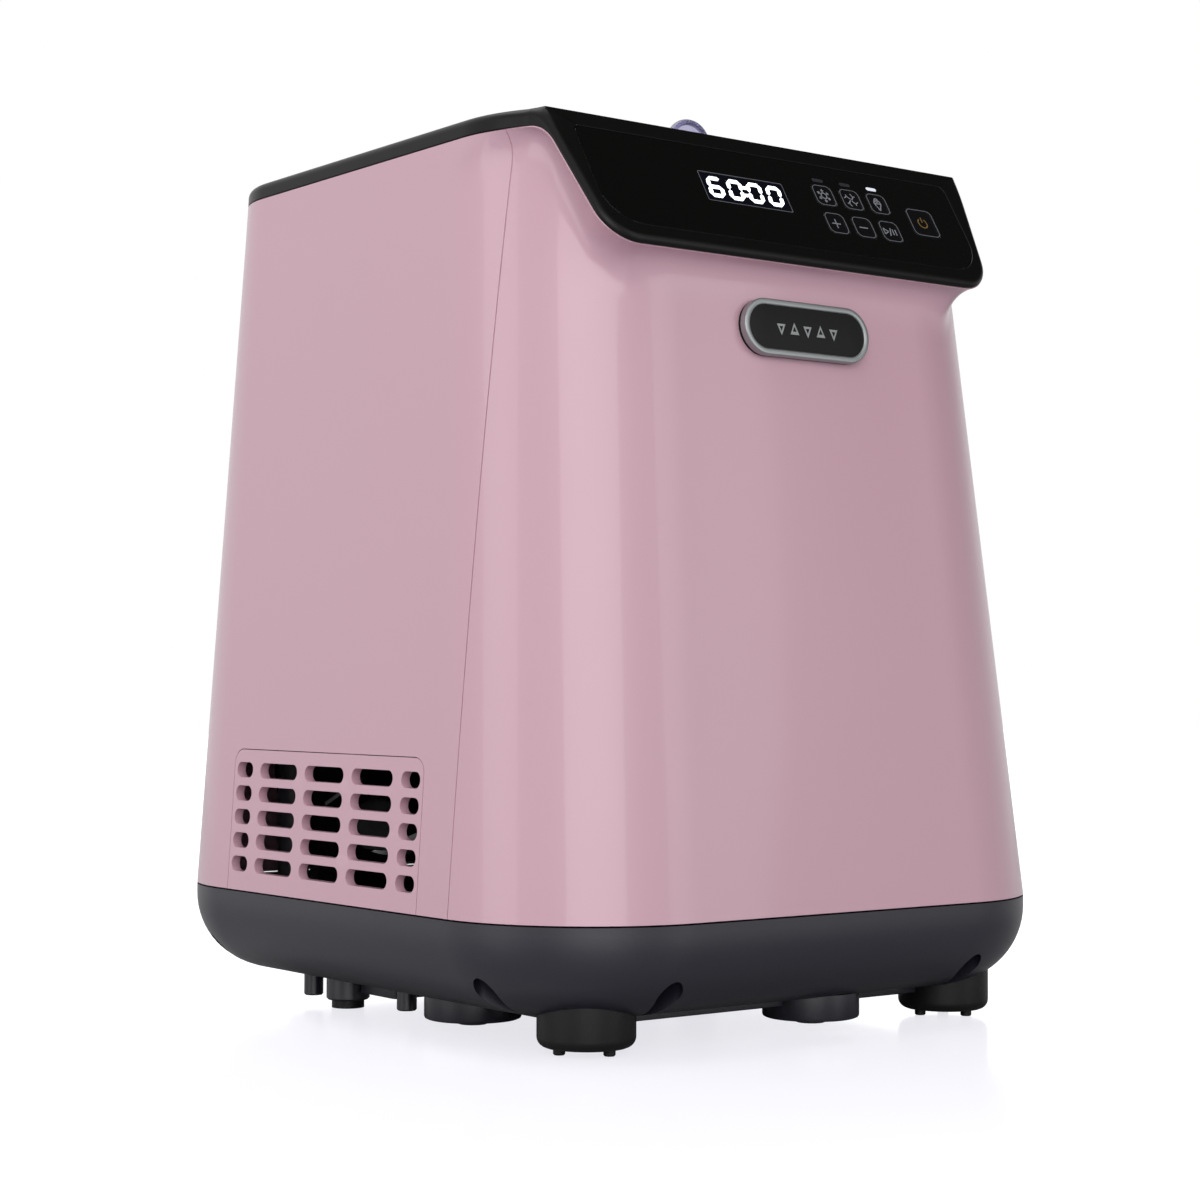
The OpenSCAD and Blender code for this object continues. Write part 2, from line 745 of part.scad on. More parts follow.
module paddle() {
    color("#e9e9ec") difference() {
        union() {
            translate([0, 0, hub_bottom]) cylinder(h = hub_top - hub_bottom, r = hub_out);
            translate([0, 0, hub_top - eps]) cylinder(h = 14, r1 = hub_out, r2 = 5);
            // Two scraper frames that reach the wall, with a mixing bar across each
            for (s = [0, 180]) rotate([0, 0, s]) {
                translate([0, -blade_t / 2, hub_bottom]) cube([blade_reach - 9, blade_t, blade_frame]);
                translate([hub_out - 4, -blade_t / 2, hub_top - 10])
                    cube([blade_reach - hub_out + 1, blade_t, 9]);
                translate([blade_reach, 0, hub_bottom + bowl_fillet]) rotate([0, 0, scraper_lean])
                    translate([-blade_frame - 1.5, -blade_t / 2, 0])
                        cube([blade_frame, blade_t, blade_top - hub_bottom - bowl_fillet]);
                translate([30, -blade_t / 2, hub_bottom + 4]) cube([7, blade_t, hub_top - hub_bottom - 6]);
            }
        }
        translate([0, 0, hub_bottom - eps]) cylinder(h = square_z - hub_bottom + eps, r = hub_in);
        translate([-square_s / 2 - key_fit, -square_s / 2 - key_fit, square_z - eps])
            cube([square_s + 2 * key_fit, square_s + 2 * key_fit, shaft_top - square_z + 1]);
    }
}

// ---- Drive ----

module drive_shaft() {
    low = box_z + box_t + 0.3;
    color("#b8bbc0") {
        translate([0, 0, low]) cylinder(h = square_z - low, r = shaft_r);
        intersection() {
            translate([-square_s / 2, -square_s / 2, square_z - 1])
                cube([square_s, square_s, shaft_top - square_z + 1]);
            translate([0, 0, square_z - 1]) cylinder(h = shaft_top, r = shaft_r - 0.2);
        }
    }
}

module drive_gear() {
    color("#e8e6dc") translate([0, 0, gear_z]) difference() {
        linear_extrude(gear_h) gear_outline(gear_teeth);
        translate([0, 0, -eps]) cylinder(h = gear_h + 2 * eps, r = shaft_r);
        translate([0, 0, gear_h - 2.5]) difference() {
            cylinder(h = 3, r = gear_r - 6);
            translate([0, 0, -eps]) cylinder(h = 4, r = shaft_r + 5);
        }
    }
}

module motor_pinion() {
    color("#b9a15c") translate([gear_centre, 0, 0]) {
        translate([0, 0, gear_z]) rotate([0, 0, 180 / pinion_teeth]) linear_extrude(gear_h)
            gear_outline(pinion_teeth);
        translate([0, 0, box_z - 8]) cylinder(h = gear_z + gear_h + 1 - box_z + 8, r = motor_shaft_r);
    }
}

module box_outline(inset) {
    circle(box_r - inset);
    translate([gear_centre, 0]) circle(nose_r - inset);
    translate([0, -nose_r + inset]) square([gear_centre, 2 * (nose_r - inset)]);
}

module gearbox_housing() {
    color("#4a4d52") difference() {
        union() {
            difference() {
                translate([0, 0, box_z]) linear_extrude(box_top - box_z) box_outline(0);
                translate([0, 0, box_z + box_t]) linear_extrude(box_top) box_outline(2);
            }
            translate([0, 0, box_z]) cylinder(h = gear_z - box_z - 0.5, r = boss_r);
        }
        translate([0, 0, box_z + box_t]) cylinder(h = gear_z, r = shaft_r + run_fit);
        translate([gear_centre, 0, box_z - eps]) cylinder(h = box_t + 2 * eps, r = motor_shaft_r + 2);
    }
}

module gearbox_cover() {
    color("#54575c") difference() {
        union() {
            translate([0, 0, box_top]) linear_extrude(cover_t) box_outline(0);
            translate([0, 0, box_top]) cylinder(h = bucket_floor - bucket_wall - gap - box_top, r = boss_r);
        }
        translate([0, 0, box_top - eps]) cylinder(h = bucket_floor, r = bush_r);
    }
}

module shaft_bush() {
    low = box_top;
    color("#b08a3e") translate([0, 0, low]) difference() {
        cylinder(h = bucket_floor - bucket_wall - gap - low - 6, r = bush_r);
        translate([0, 0, -eps]) cylinder(h = bucket_floor, r = shaft_r + run_fit);
    }
}

module shaft_seal() {
    low = bucket_floor - bucket_wall - gap - 6;
    color("#1d1d20") translate([0, 0, low]) difference() {
        union() {
            cylinder(h = 5, r = bush_r);
            cylinder(h = 6.6 + bucket_wall, r = bush_r - 0.6);
        }
        translate([0, 0, -eps]) cylinder(h = 12, r = shaft_r + 0.1);
    }
}

module gear_motor() {
    color("#9a9ea3") translate([gear_centre, 0, 0]) difference() {
        union() {
            translate([0, 0, box_z - motor_len]) cylinder(h = motor_len - 3, r = motor_r);
            translate([0, 0, box_z - 3]) cylinder(h = 3, r = 12);
            translate([0, 0, box_z - motor_len - 4]) cylinder(h = 5, r = 7);
        }
        translate([0, 0, box_z - 9]) cylinder(h = 12, r = motor_shaft_r + run_fit);
    }
}

// ---- Cooling circuit ----

module compressor() {
    r = comp_r;
    mid = (comp_z0 + comp_z1) / 2;
    dome = 20;
    color("#1f2024") difference() {
        union() {
            translate([comp_at[0], comp_at[1], 0]) rotate_extrude() polygon(concat(
                [[0, comp_z0]],
                [for (a = [-90 : 15 : 0]) [r - dome + dome * cos(a), comp_z0 + dome + dome * sin(a)]],
                [[r, mid - 2], [r + 2, mid - 2], [r + 2, mid + 2], [r, mid + 2]],
                [for (a = [0 : 15 : 90]) [r - dome + dome * cos(a), comp_z1 - dome + dome * sin(a)]],
                [[0, comp_z1]]));
            for (p = cup_at) {
                d = p - comp_at;
                translate([comp_at[0], comp_at[1], plate_z + 3]) rotate([0, 0, atan2(d[1], d[0])])
                    translate([0, -9, 0]) cube([norm(d), 18, 3]);
                translate([p[0], p[1], plate_z + 3]) cylinder(h = 3, r = 13);
            }
            translate([comp_at[0] + r - 6, comp_at[1] - 14, mid - 20]) cube([16, 28, 32]);
        }
        for (p = cup_at) translate([p[0], p[1], plate_z]) cylinder(h = 10, r = 4.2);
    }
}

module compressor_grommets() {
    low = cup_z + 2.5;
    color("#26262a") for (p = cup_at) translate([p[0], p[1], low]) difference() {
        union() {
            cylinder(h = plate_z + 3 - low, r = grommet_r);
            cylinder(h = plate_z + 8 - low, r = 4);
        }
        translate([0, 0, -eps]) cylinder(h = 40, r = 2.6);
    }
}

module compressor_screws() {
    color("#c5c7ca") for (p = cup_at) translate([p[0], p[1], 0]) {
        translate([0, 0, cup_z - 2]) cylinder(h = 2, r = 5);
        translate([0, 0, cup_z - 1]) cylinder(h = plate_z + 10 - cup_z, r = 2.5);
    }
}

cond_tube_at = [for (c = [0, 1], l = [0 : cond_levels - 1])
    [cond_x0 + cond_t * (0.27 + 0.46 * c), cond_z0 + cond_h / 2 + (l - (cond_levels - 1) / 2) * cond_level_pitch]];

module condenser_fins() {
    step = 2 * cond_half / (fin_count - 1);
    color("#a9adb2") difference() {
        union() {
            for (i = [0 : fin_count - 1]) translate([cond_x0, -cond_half + i * step - fin_t_thick / 2, cond_z0])
                cube([cond_t, fin_t_thick, cond_h]);
            // Side channel that holds the fins together and bolts to the tray
            translate([cond_x0, -cond_half, cond_z0 - 1]) cube([cond_t, 2 * cond_half, 1.2]);
            for (s = [-1, 1]) translate([cond_x0 + 2, s * (cond_half - 6) - 3, tray_z + tray_wall])
                cube([8, 6, cond_z0 - tray_z - tray_wall]);
        }
        for (p = cond_tube_at) translate([p[0], cond_half + 5, p[1]]) rotate([90, 0, 0])
            cylinder(h = 2 * cond_half + 10, r = tube_r);
    }
}

// One long serpentine: up the first column of tubes and back down the second
module condenser_tubes() {
    end = cond_half + 5;
    up = [for (l = [0 : cond_levels - 1], k = [-1, 1])
        [cond_tube_at[l][0], (l % 2 == 0 ? k : -k) * end, cond_tube_at[l][1]]];
    down = [for (i = [len(up) - 1 : -1 : 0]) [cond_tube_at[cond_levels][0], up[i][1], up[i][2]]];
    color("#b87a4a") pipe(concat(up, down), tube_r);
}

module fan_frame() {
    color("#17181a") translate([fan_x, fan_y0, fan_z]) rotate([-90, 0, 0]) {
        difference() {
            translate([-fan_s / 2, -fan_s / 2, 0]) cube([fan_s, fan_s, fan_t]);
            translate([0, 0, -eps]) cylinder(h = fan_t + 2 * eps, r = fan_bore);
            for (sx = [-1, 1], sy = [-1, 1]) translate([sx * (fan_s / 2 - 4.5), sy * (fan_s / 2 - 4.5), -eps])
                cylinder(h = fan_t + 2 * eps, r = 2.2);
        }
        // Motor on three struts at the air inlet side
        difference() {
            union() {
                cylinder(h = 7, r = hub_r + 1);
                for (a = [30 : 120 : 270]) rotate([0, 0, a]) translate([0, -2.5, 0]) cube([fan_bore + 1, 5, 4]);
            }
            translate([0, 0, 1.5]) cylinder(h = 10, r = 2 + run_fit);
        }
        // Two feet that stand the frame on the tray
        for (s = [-1, 1]) translate([s * (fan_s / 2 - 8) - 4, fan_s / 2 - eps, 1])
            cube([8, fan_z - fan_s / 2 - tray_z - tray_wall + eps, 7]);
    }
}

module fan_rotor() {
    color("#26282c") translate([fan_x, fan_y0, fan_z]) rotate([-90, 0, 0]) {
        translate([0, 0, 2]) cylinder(h = 8, r = 2);
        translate([0, 0, 8]) cylinder(h = fan_t - 10, r = hub_r);
        for (i = [0 : fan_blades - 1]) rotate([0, 0, 360 * i / fan_blades]) intersection() {
            translate([0, 0, 8]) cylinder(h = fan_t - 10, r = fan_bore - 1.5);
            translate([hub_r - 2, 0, fan_t / 2 + 3]) rotate([38, 0, 0])
                translate([0, -12, -0.9]) cube([fan_bore, 24, 1.8]);
        }
    }
}

module fan_guard() {
    color("#1b1b1e") on_rear(fan_x, fan_z) translate([0, 0, -wall]) linear_extrude(wall) {
        for (r = [9, 18, 27]) difference() {
            circle(r + 1.3);
            circle(r - 1.3);
        }
        difference() {
            circle(guard_r);
            circle(guard_r - 4);
        }
        for (a = [0 : 60 : 300]) rotate(a) translate([8, -1.4]) square([guard_r - 10, 2.8]);
    }
}

module filter_drier() {
    color("#b87a4a") translate([drier_at[0], drier_at[1], 0]) rotate_extrude() polygon([[0, 40], [tube_r, 40],
        [tube_r, 44], [drier_r, 50], [drier_r, 92], [tube_r, 98], [tube_r, 102], [0, 102]]);
}

suction_path = [[-7, coil_mid, coil_z + 2], [-7, 94, coil_z + 2], [-7, 94, 122], [-44, 34, 122], [-44, 34, 100],
                [-39, 2.5, 100]];
discharge_path = [[36, -45, 58], [56, -60, 58], [56, -76, 96], [cond_tube_at[3][0], -76, 96],
                  [cond_tube_at[3][0], -76, 46], [cond_tube_at[0][0], -61, cond_tube_at[0][1]]];
liquid_path = [[cond_tube_at[4][0], -60.3, cond_tube_at[4][1]], [cond_tube_at[4][0], -72, cond_tube_at[4][1]],
               [72, -72, cond_tube_at[4][1]], [72, -72, 22], [72, drier_at[1], 22], [drier_at[0], drier_at[1], 22],
               [drier_at[0], drier_at[1], 40]];
capillary_path = [[drier_at[0], drier_at[1], 102], [drier_at[0], drier_at[1], 112], [drier_at[0], 94, 112],
                  [7, 94, 112], [7, 94, coil_z + 92], [7, coil_mid + 5, coil_z + 92]];

module suction_line() { color("#b87a4a") pipe(suction_path, tube_r); }
module discharge_line() { color("#b87a4a") pipe(discharge_path, tube_r); }
module liquid_line() { color("#b87a4a") pipe(liquid_path, 2); }
module capillary_tube() { color("#b87a4a") pipe(capillary_path, capillary_r); }

// ---- Electrics ----

module power_board() {
    color("#1e5a3a") {
        translate([pcb_x[0], pcb_y, pcb_z[0]]) cube([pcb_x[1] - pcb_x[0], 1.6, pcb_z[1] - pcb_z[0]]);
        for (x = [pcb_x[0] + 6, pcb_x[1] - 24]) translate([x, pcb_y - leg_t, tray_z + tray_wall + leg_gap])
            cube([8, leg_t, pcb_z[0] - tray_z - tray_wall + 8]);
    }
}

module board_parts() {
    y = pcb_y + 1.6;
    color("#d0a02c") {
        translate([pcb_x[0] + 6, y, 34]) cube([24, 20, 20]);
        translate([pcb_x[0] + 36, y, 36]) cube([12, 15, 19]);
        for (x = [38, 58]) translate([x, y, 76]) rotate([-90, 0, 0]) cylinder(h = 16, r = 6);
    }
}

module power_inlet() {
    color("#1a1a1c") on_rear(inlet_x, inlet_z) {
        difference() {
            union() {
                translate([0, 0, -wall - 2.2]) linear_extrude(2) round_rect(inlet_size + [10, 6], 3);
                translate([0, 0, -inlet_depth]) linear_extrude(inlet_depth) round_rect(inlet_size, 2);
            }
            translate([0, 0, -inlet_depth + 5]) linear_extrude(inlet_depth) round_rect(inlet_size - [3, 3], 1.5);
        }
        for (p = [[-7, -1], [0, 3], [7, -1]]) translate([p[0] - 1, p[1] - 2.5, -inlet_depth + 4]) cube([2, 5, 14]);
    }
}

// ---- Feet and fasteners ----

module front_foot(side) {
    color("#1c1c1f") translate([side * foot_at[0], foot_at[1], 0]) {
        rotate_extrude() polygon(concat([[0, foot_z]],
            [for (a = [-90 : 15 : 0]) [foot_r - 4 + 4 * cos(a), foot_z + 4 + 4 * sin(a)]],
            [[foot_r, tray_z - platform_drop], [0, tray_z - platform_drop]]));
        for (a = [45 : 120 : 300]) rotate([0, 0, a]) translate([9.5, 0, 0]) cylinder(h = foot_z + 1, r = 2);
    }
}

module front_foot_left() { front_foot(-1); }
module front_foot_right() { front_foot(1); }

module rear_foot(side) {
    color("#1c1c1f") translate([side * rear_foot_at[0], rear_foot_at[1], 0]) cylinder(h = pin_z, r = rear_pad_r);
}

module rear_foot_left() { rear_foot(-1); }
module rear_foot_right() { rear_foot(1); }

module tray_screws() {
    color("#c5c7ca") for (s = [-1, 1], p = pocket_at) translate([s * p[0], p[1], pocket_z - 2.2])
        cylinder(h = 2.2, r = 3);
}

base_tray();
inner_deck();
deck_pillars();
front_shell();
side_rear_shell();
top_bezel();
control_plate();
display_window();
display_module();
indicator_lamps();
control_board();
key_switches();
badge_base();
badge_ring();
evaporator_bucket();
evaporator_coil();
foam_jacket();
bucket_gasket();
gearbox_housing();
gearbox_cover();
gear_motor();
shaft_bush();
shaft_seal();
compressor();
compressor_grommets();
compressor_screws();
condenser_fins();
condenser_tubes();
fan_frame();
fan_guard();
filter_drier();
suction_line();
discharge_line();
liquid_line();
capillary_tube();
power_board();
board_parts();
power_inlet();
front_foot_left();
front_foot_right();
rear_foot_left();
rear_foot_right();
tray_screws();
lid();
lid_seal();
ingredient_cap();
bowl();
paddle();
drive_shaft();
drive_gear();
motor_pinion();
fan_rotor();
key_chill();
key_mix();
key_cone();
key_plus();
key_minus();
key_start();
key_power();
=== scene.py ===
"""Looks of the countertop ice cream maker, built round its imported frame.

Sizes are millimetres, and each piece is turned into metres as it is finished.
"""

import logging
import math
from dataclasses import dataclass, field
from enum import Enum
from typing import Callable, Iterable, Optional, Sequence

import bmesh
import bpy
from mathutils import Matrix, Vector

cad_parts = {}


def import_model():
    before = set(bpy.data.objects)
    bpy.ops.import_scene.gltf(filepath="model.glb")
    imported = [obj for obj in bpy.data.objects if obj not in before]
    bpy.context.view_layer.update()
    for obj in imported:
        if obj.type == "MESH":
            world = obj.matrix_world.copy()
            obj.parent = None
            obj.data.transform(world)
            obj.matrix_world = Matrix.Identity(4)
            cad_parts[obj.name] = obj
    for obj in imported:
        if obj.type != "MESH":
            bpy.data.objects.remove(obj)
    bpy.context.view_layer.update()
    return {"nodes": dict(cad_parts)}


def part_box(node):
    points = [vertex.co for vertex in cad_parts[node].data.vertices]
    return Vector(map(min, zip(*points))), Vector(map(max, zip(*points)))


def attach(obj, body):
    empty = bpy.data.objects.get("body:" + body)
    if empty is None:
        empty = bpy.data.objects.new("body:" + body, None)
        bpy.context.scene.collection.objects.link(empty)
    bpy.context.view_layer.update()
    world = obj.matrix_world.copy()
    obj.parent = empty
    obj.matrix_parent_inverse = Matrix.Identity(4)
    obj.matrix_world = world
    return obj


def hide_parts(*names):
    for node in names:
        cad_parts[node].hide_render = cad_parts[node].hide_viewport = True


log = logging.getLogger("ice_cream_maker")

MM = 0.001
# Crease angle that keeps a flat plate flat beside its rounded edges
FLAT_CREASE = 14.0
# Share by which the relief makes the roughness rise and fall
WEAR = 0.15
PATCH_DETAIL = 3.0
RELIEF_DETAIL = 4.0
BRUSH_SQUEEZE = 0.03
# Points closer than this are merged: on small solids, on skins and on the top moulding
WELD_FINE = 0.001
WELD_SKIN = 0.01
WELD_TOP = 0.02
# What a half-round end gives up so that its corner points stay apart
END_EASE = 0.01
Place = Callable[[float, float, float], Vector]
Outline = Sequence[tuple[float, float]]


# ---------------------------------------------------------------- finishes


def linear(colour: str) -> tuple[float, float, float, float]:
    """Turn an sRGB hex colour into linear light.

    Args:
        colour: Six hex digits, such as "c8a0b0".

    Returns:
        Linear red, green, blue and a full alpha.
    """
    parts = [int(colour[i:i + 2], 16) / 255 for i in (0, 2, 4)]
    light = [p / 12.92 if p <= 0.04045 else ((p + 0.055) / 1.055) ** 2.4 for p in parts]
    return (light[0], light[1], light[2], 1.0)


def add_node(tree: bpy.types.NodeTree, kind: str, settings: Optional[dict] = None,
             inputs: Optional[dict] = None) -> bpy.types.Node:
    """Add a shader node with its settings and its links.

    Args:
        tree: The material's node tree.
        kind: The node's type name.
        settings: Attributes to set on the node.
        inputs: Socket name or index to a value, or to the socket that feeds it.

    Returns:
        The new node.
    """
    node = tree.nodes.new(kind)
    for name, value in (settings or {}).items():
        setattr(node, name, value)
    for name, value in (inputs or {}).items():
        if isinstance(value, bpy.types.NodeSocket):
            tree.links.new(value, node.inputs[name])
        else:
            node.inputs[name].default_value = value
    return node


class Grain(Enum):
    """How a surface's fine relief is laid out."""

    ROUND = "round"
    ACROSS = "across"
    UPRIGHT = "upright"


@dataclass(frozen=True)
class Finish:
    """A moulded, painted or metal surface with a fine relief and a faint change of tone.

    Attributes:
        name: Material and how it was made.
        colour: sRGB hex colour.
        rough: Base roughness.
        metal: One for bare metal, nought for the rest.
        coat: Strength of the glossy skin over the colour.
        coat_rough: Roughness of that skin.
        grain_mm: Width of one bump of the relief.
        relief_mm: Height of the relief.
        tone_mm: Width of the soft patches of tone.
        tone: How much lighter or darker the patches are.
        grain: Direction of the relief.
        glow: Strength of the light that it gives.
        glow_seen: Whether that light only reaches the camera, as on a studio backdrop.
        clear: Share of light that passes through.
        index: Index of refraction, left at the default for metals.
        specular: Strength of the plain shine.
    """

    name: str
    colour: str
    rough: float
    metal: float = 0.0
    coat: float = 0.0
    coat_rough: float = 0.05
    grain_mm: float = 0.6
    relief_mm: float = 0.01
    tone_mm: float = 40.0
    tone: float = 0.02
    grain: Grain = Grain.ROUND
    glow: float = 0.0
    glow_seen: bool = False
    clear: float = 0.0
    index: float = 1.5
    specular: float = 0.5

    def stretch(self) -> tuple[float, float, float]:
        """Return how much the relief is squeezed along each axis."""
        if self.grain is Grain.ACROSS:
            return (BRUSH_SQUEEZE, BRUSH_SQUEEZE, 1.0)
        if self.grain is Grain.UPRIGHT:
            return (1.0, 1.0, BRUSH_SQUEEZE)
        return (1.0, 1.0, 1.0)

    def material(self) -> bpy.types.Material:
        """Return the finish as a material, made the first time it is asked for."""
        known = bpy.data.materials.get(self.name)
        if known:
            return known
        made = bpy.data.materials.new(self.name)
        made.use_nodes = True
        tree = made.node_tree
        tree.nodes.clear()
        places = add_node(tree, "ShaderNodeTexCoord").outputs["Object"]
        laid = add_node(tree, "ShaderNodeMapping", inputs={"Vector": places, "Scale": self.stretch()})
        patches = add_node(tree, "ShaderNodeTexNoise", inputs={
            "Vector": places, "Scale": 1 / (self.tone_mm * MM), "Detail": PATCH_DETAIL})
        base = linear(self.colour)
        shades = [tuple(min(1.0, c * (1 + k * self.tone)) for c in base[:3]) + (1.0,) for k in (-1, 1)]
        tone = add_node(tree, "ShaderNodeMix", {"data_type": "RGBA"}, {
            "Factor": patches.outputs[0], 6: shades[0], 7: shades[1]})
        relief = add_node(tree, "ShaderNodeTexNoise", inputs={
            "Vector": laid.outputs[0], "Scale": 1 / (self.grain_mm * MM), "Detail": RELIEF_DETAIL})
        wear = add_node(tree, "ShaderNodeMapRange", inputs={
            "Value": relief.outputs[0], "To Min": self.rough * (1 - WEAR), "To Max": self.rough * (1 + WEAR)})
        bump = add_node(tree, "ShaderNodeBump", inputs={
            "Height": relief.outputs[0], "Strength": 1.0, "Distance": self.relief_mm * MM})
        inputs = {"Base Color": tone.outputs[2], "Roughness": wear.outputs[0], "Normal": bump.outputs[0],
                  "Metallic": self.metal, "Coat Weight": self.coat, "Coat Roughness": self.coat_rough,
                  "Transmission Weight": self.clear, "Specular IOR Level": self.specular}
        if not self.metal:
            inputs["IOR"] = self.index
        if self.glow:
            inputs["Emission Color"] = linear(self.colour)
            inputs["Emission Strength"] = self.glow
        if self.glow_seen:
            seen = add_node(tree, "ShaderNodeLightPath").outputs["Is Camera Ray"]
            inputs["Emission Strength"] = add_node(tree, "ShaderNodeMath", {"operation": "MULTIPLY"}, {
                0: seen, 1: self.glow}).outputs[0]
        shader = add_node(tree, "ShaderNodeBsdfPrincipled", inputs=inputs)
        add_node(tree, "ShaderNodeOutputMaterial", inputs={"Surface": shader.outputs[0]})
        made.diffuse_color = base
        return made


# Gloss-moulded ABS: even colour under a clear, slightly wavy shine
PINK_ABS = Finish("gloss_moulded_pink_abs", "cea5b3", 0.3, coat=0.5, coat_rough=0.06,
                  grain_mm=24.0, relief_mm=0.003, tone_mm=90.0, tone=0.01)
# Fine-textured black ABS: soft sheen broken up by the mould's texture
SATIN_ABS = Finish("satin_moulded_black_abs", "0b0b0a", 0.32, grain_mm=0.5, relief_mm=0.006, tone=0.05,
                   specular=0.22)
# Spark-textured black ABS of the base: dull, with a bluish grey sheen at a low angle
TRAY_ABS = Finish("textured_moulded_black_abs", "23212c", 0.36, grain_mm=0.7, relief_mm=0.03, tone=0.08,
                  specular=0.75)
# Back-printed acrylic: deep black under a hard, flat gloss
PLATE_ACRYLIC = Finish("back_printed_black_acrylic", "060605", 0.08, coat=1.0, coat_rough=0.02,
                       grain_mm=30.0, relief_mm=0.004, tone=0.05)
WINDOW_ACRYLIC = Finish("smoked_acrylic", "0b0b14", 0.07, grain_mm=30.0, relief_mm=0.003)
# Moulded ABS key caps: darker than the plate, with a soft gloss in the dish
KEY_ABS = Finish("soft_gloss_moulded_key_abs", "0c0c0e", 0.2, coat=0.6, coat_rough=0.1, grain_mm=0.5,
                 relief_mm=0.003, tone=0.05)
# Screen-printed ink: flat and pale
KEY_INK = Finish("screen_printed_grey_ink", "7e8086", 0.5, grain_mm=0.25, relief_mm=0.004, tone=0.06)
# Amber print of the power icon, with a faint painted glow that brightens it though nothing lights it
AMBER_INK_PAINTED_GLOW = Finish("screen_printed_amber_ink_painted_glow", "6b5226", 0.5, grain_mm=0.25, relief_mm=0.004, tone=0.06,
                   glow=0.1)
OUTLINE_INK = Finish("screen_printed_outline_ink", "5e5f66", 0.5, grain_mm=0.25, relief_mm=0.004, tone=0.06)
# Lit display segments: white with a blue cast
DIGIT_LIGHT = Finish("lit_display_segment", "e9efff", 0.4, grain_mm=0.4, relief_mm=0.002, glow=2.2)
LAMP_LIGHT = Finish("lit_lamp_lens", "c9cbd4", 0.4, grain_mm=0.4, relief_mm=0.002, glow=0.5)
LAMP_DARK = Finish("unlit_lamp_lens", "2c2c33", 0.35, grain_mm=0.4, relief_mm=0.002)
# Metallised trim: silver-grey with a fine brushed line
SILVER_TRIM = Finish("satin_plated_trim", "a4a8a8", 0.34, metal=0.85, grain_mm=0.3, relief_mm=0.004)
BADGE_BLACK = Finish("satin_moulded_badge_abs", "0a0b0b", 0.5, grain_mm=0.4, relief_mm=0.004, specular=0.3)
# Rubber: dull, close-grained
RUBBER = Finish("moulded_black_rubber", "0e0e10", 0.5, grain_mm=0.5, relief_mm=0.02, tone=0.08, specular=0.4)
# Clear moulded SAN: faint violet cast at its thick edges
CLEAR_LID = Finish("clear_moulded_san", "e4e4f2", 0.05, clear=0.96, grain_mm=20.0, relief_mm=0.004,
                   index=1.57)
CLEAR_TAB = Finish("tinted_clear_san", "c6c2e4", 0.08, clear=0.85, grain_mm=12.0, relief_mm=0.004, index=1.57)
SILICONE = Finish("moulded_silicone", "dedee4", 0.45, grain_mm=0.6, relief_mm=0.005, specular=0.4)
# Spun and brushed steel: fine lines round the wall
BRUSHED_STEEL = Finish("brushed_stainless_steel", "c9cacb", 0.24, metal=1.0, grain_mm=0.5, relief_mm=0.004,
                       grain=Grain.ACROSS)
PULLED_ALUMINIUM = Finish("drawn_aluminium", "c4c6c8", 0.36, metal=1.0, grain_mm=0.5, relief_mm=0.006,
                          grain=Grain.ACROSS)
TURNED_STEEL = Finish("turned_steel", "a5a6a8", 0.28, metal=1.0, grain_mm=0.3, relief_mm=0.003,
                      grain=Grain.ACROSS)
MOTOR_STEEL = Finish("zinc_plated_steel", "8b8e92", 0.38, metal=1.0, grain_mm=2.5, relief_mm=0.01, tone=0.1,
                     tone_mm=6.0)
DECK_STEEL = Finish("galvanised_steel", "93979a", 0.42, metal=1.0, grain_mm=6.0, relief_mm=0.01, tone=0.14,
                    tone_mm=9.0)
SCREW_STEEL = Finish("blackened_screw_steel", "303236", 0.35, metal=1.0, grain_mm=0.4, relief_mm=0.005)
COPPER = Finish("drawn_copper_tube", "b4714a", 0.3, metal=1.0, grain_mm=2.0, relief_mm=0.006, tone=0.15,
                tone_mm=12.0)
BRONZE = Finish("sintered_bronze", "8f6a3c", 0.42, metal=1.0, grain_mm=0.3, relief_mm=0.01, tone=0.1)
BRASS = Finish("hobbed_brass", "b5933f", 0.3, metal=1.0, grain_mm=0.3, relief_mm=0.004)
FIN_ALUMINIUM = Finish("stamped_fin_aluminium", "aeb1b3", 0.4, metal=1.0, grain_mm=1.0, relief_mm=0.01,
                       grain=Grain.UPRIGHT)
COMPRESSOR_PAINT = Finish("sprayed_black_enamel", "17181a", 0.3, coat=0.4, grain_mm=1.6, relief_mm=0.03)
FOAM = Finish("poured_insulating_foam", "d8cc9e", 0.9, grain_mm=1.2, relief_mm=0.25, tone=0.12, tone_mm=15.0)
BOARD = Finish("solder_masked_board", "1d5537", 0.35, grain_mm=1.5, relief_mm=0.03, tone=0.25, tone_mm=3.0)
SWITCH_NYLON = Finish("moulded_grey_nylon", "4b4c52", 0.5, grain_mm=0.4, relief_mm=0.01)
GEARBOX_NYLON = Finish("glass_filled_nylon", "34363a", 0.55, grain_mm=0.8, relief_mm=0.03, tone=0.1)
ACETAL = Finish("moulded_white_acetal", "dcdad0", 0.35, grain_mm=0.5, relief_mm=0.005)
PADDLE_PLASTIC = Finish("moulded_white_polypropylene", "e2e2e4", 0.38, grain_mm=0.6, relief_mm=0.008)
FAN_PLASTIC = Finish("moulded_black_pbt", "1d1d20", 0.45, grain_mm=0.6, relief_mm=0.015, tone=0.08)
YELLOW_PART = Finish("wound_yellow_tape", "b99a30", 0.45, grain_mm=0.8, relief_mm=0.02, grain=Grain.ACROSS)
# Backlit studio table: white to the camera, with a faint gloss
FLOOR_PAINT = Finish("backlit_acrylic_table", "a6a6aa", 0.12, grain_mm=60.0, relief_mm=0.0005, tone=0.002,
                     tone_mm=900.0, glow=1.95, glow_seen=True)


# ---------------------------------------------------------------- mesh helpers


def at(x: float, y: float, z: float) -> Vector:
    """Return a point in millimetres."""
    return Vector((x, y, z))


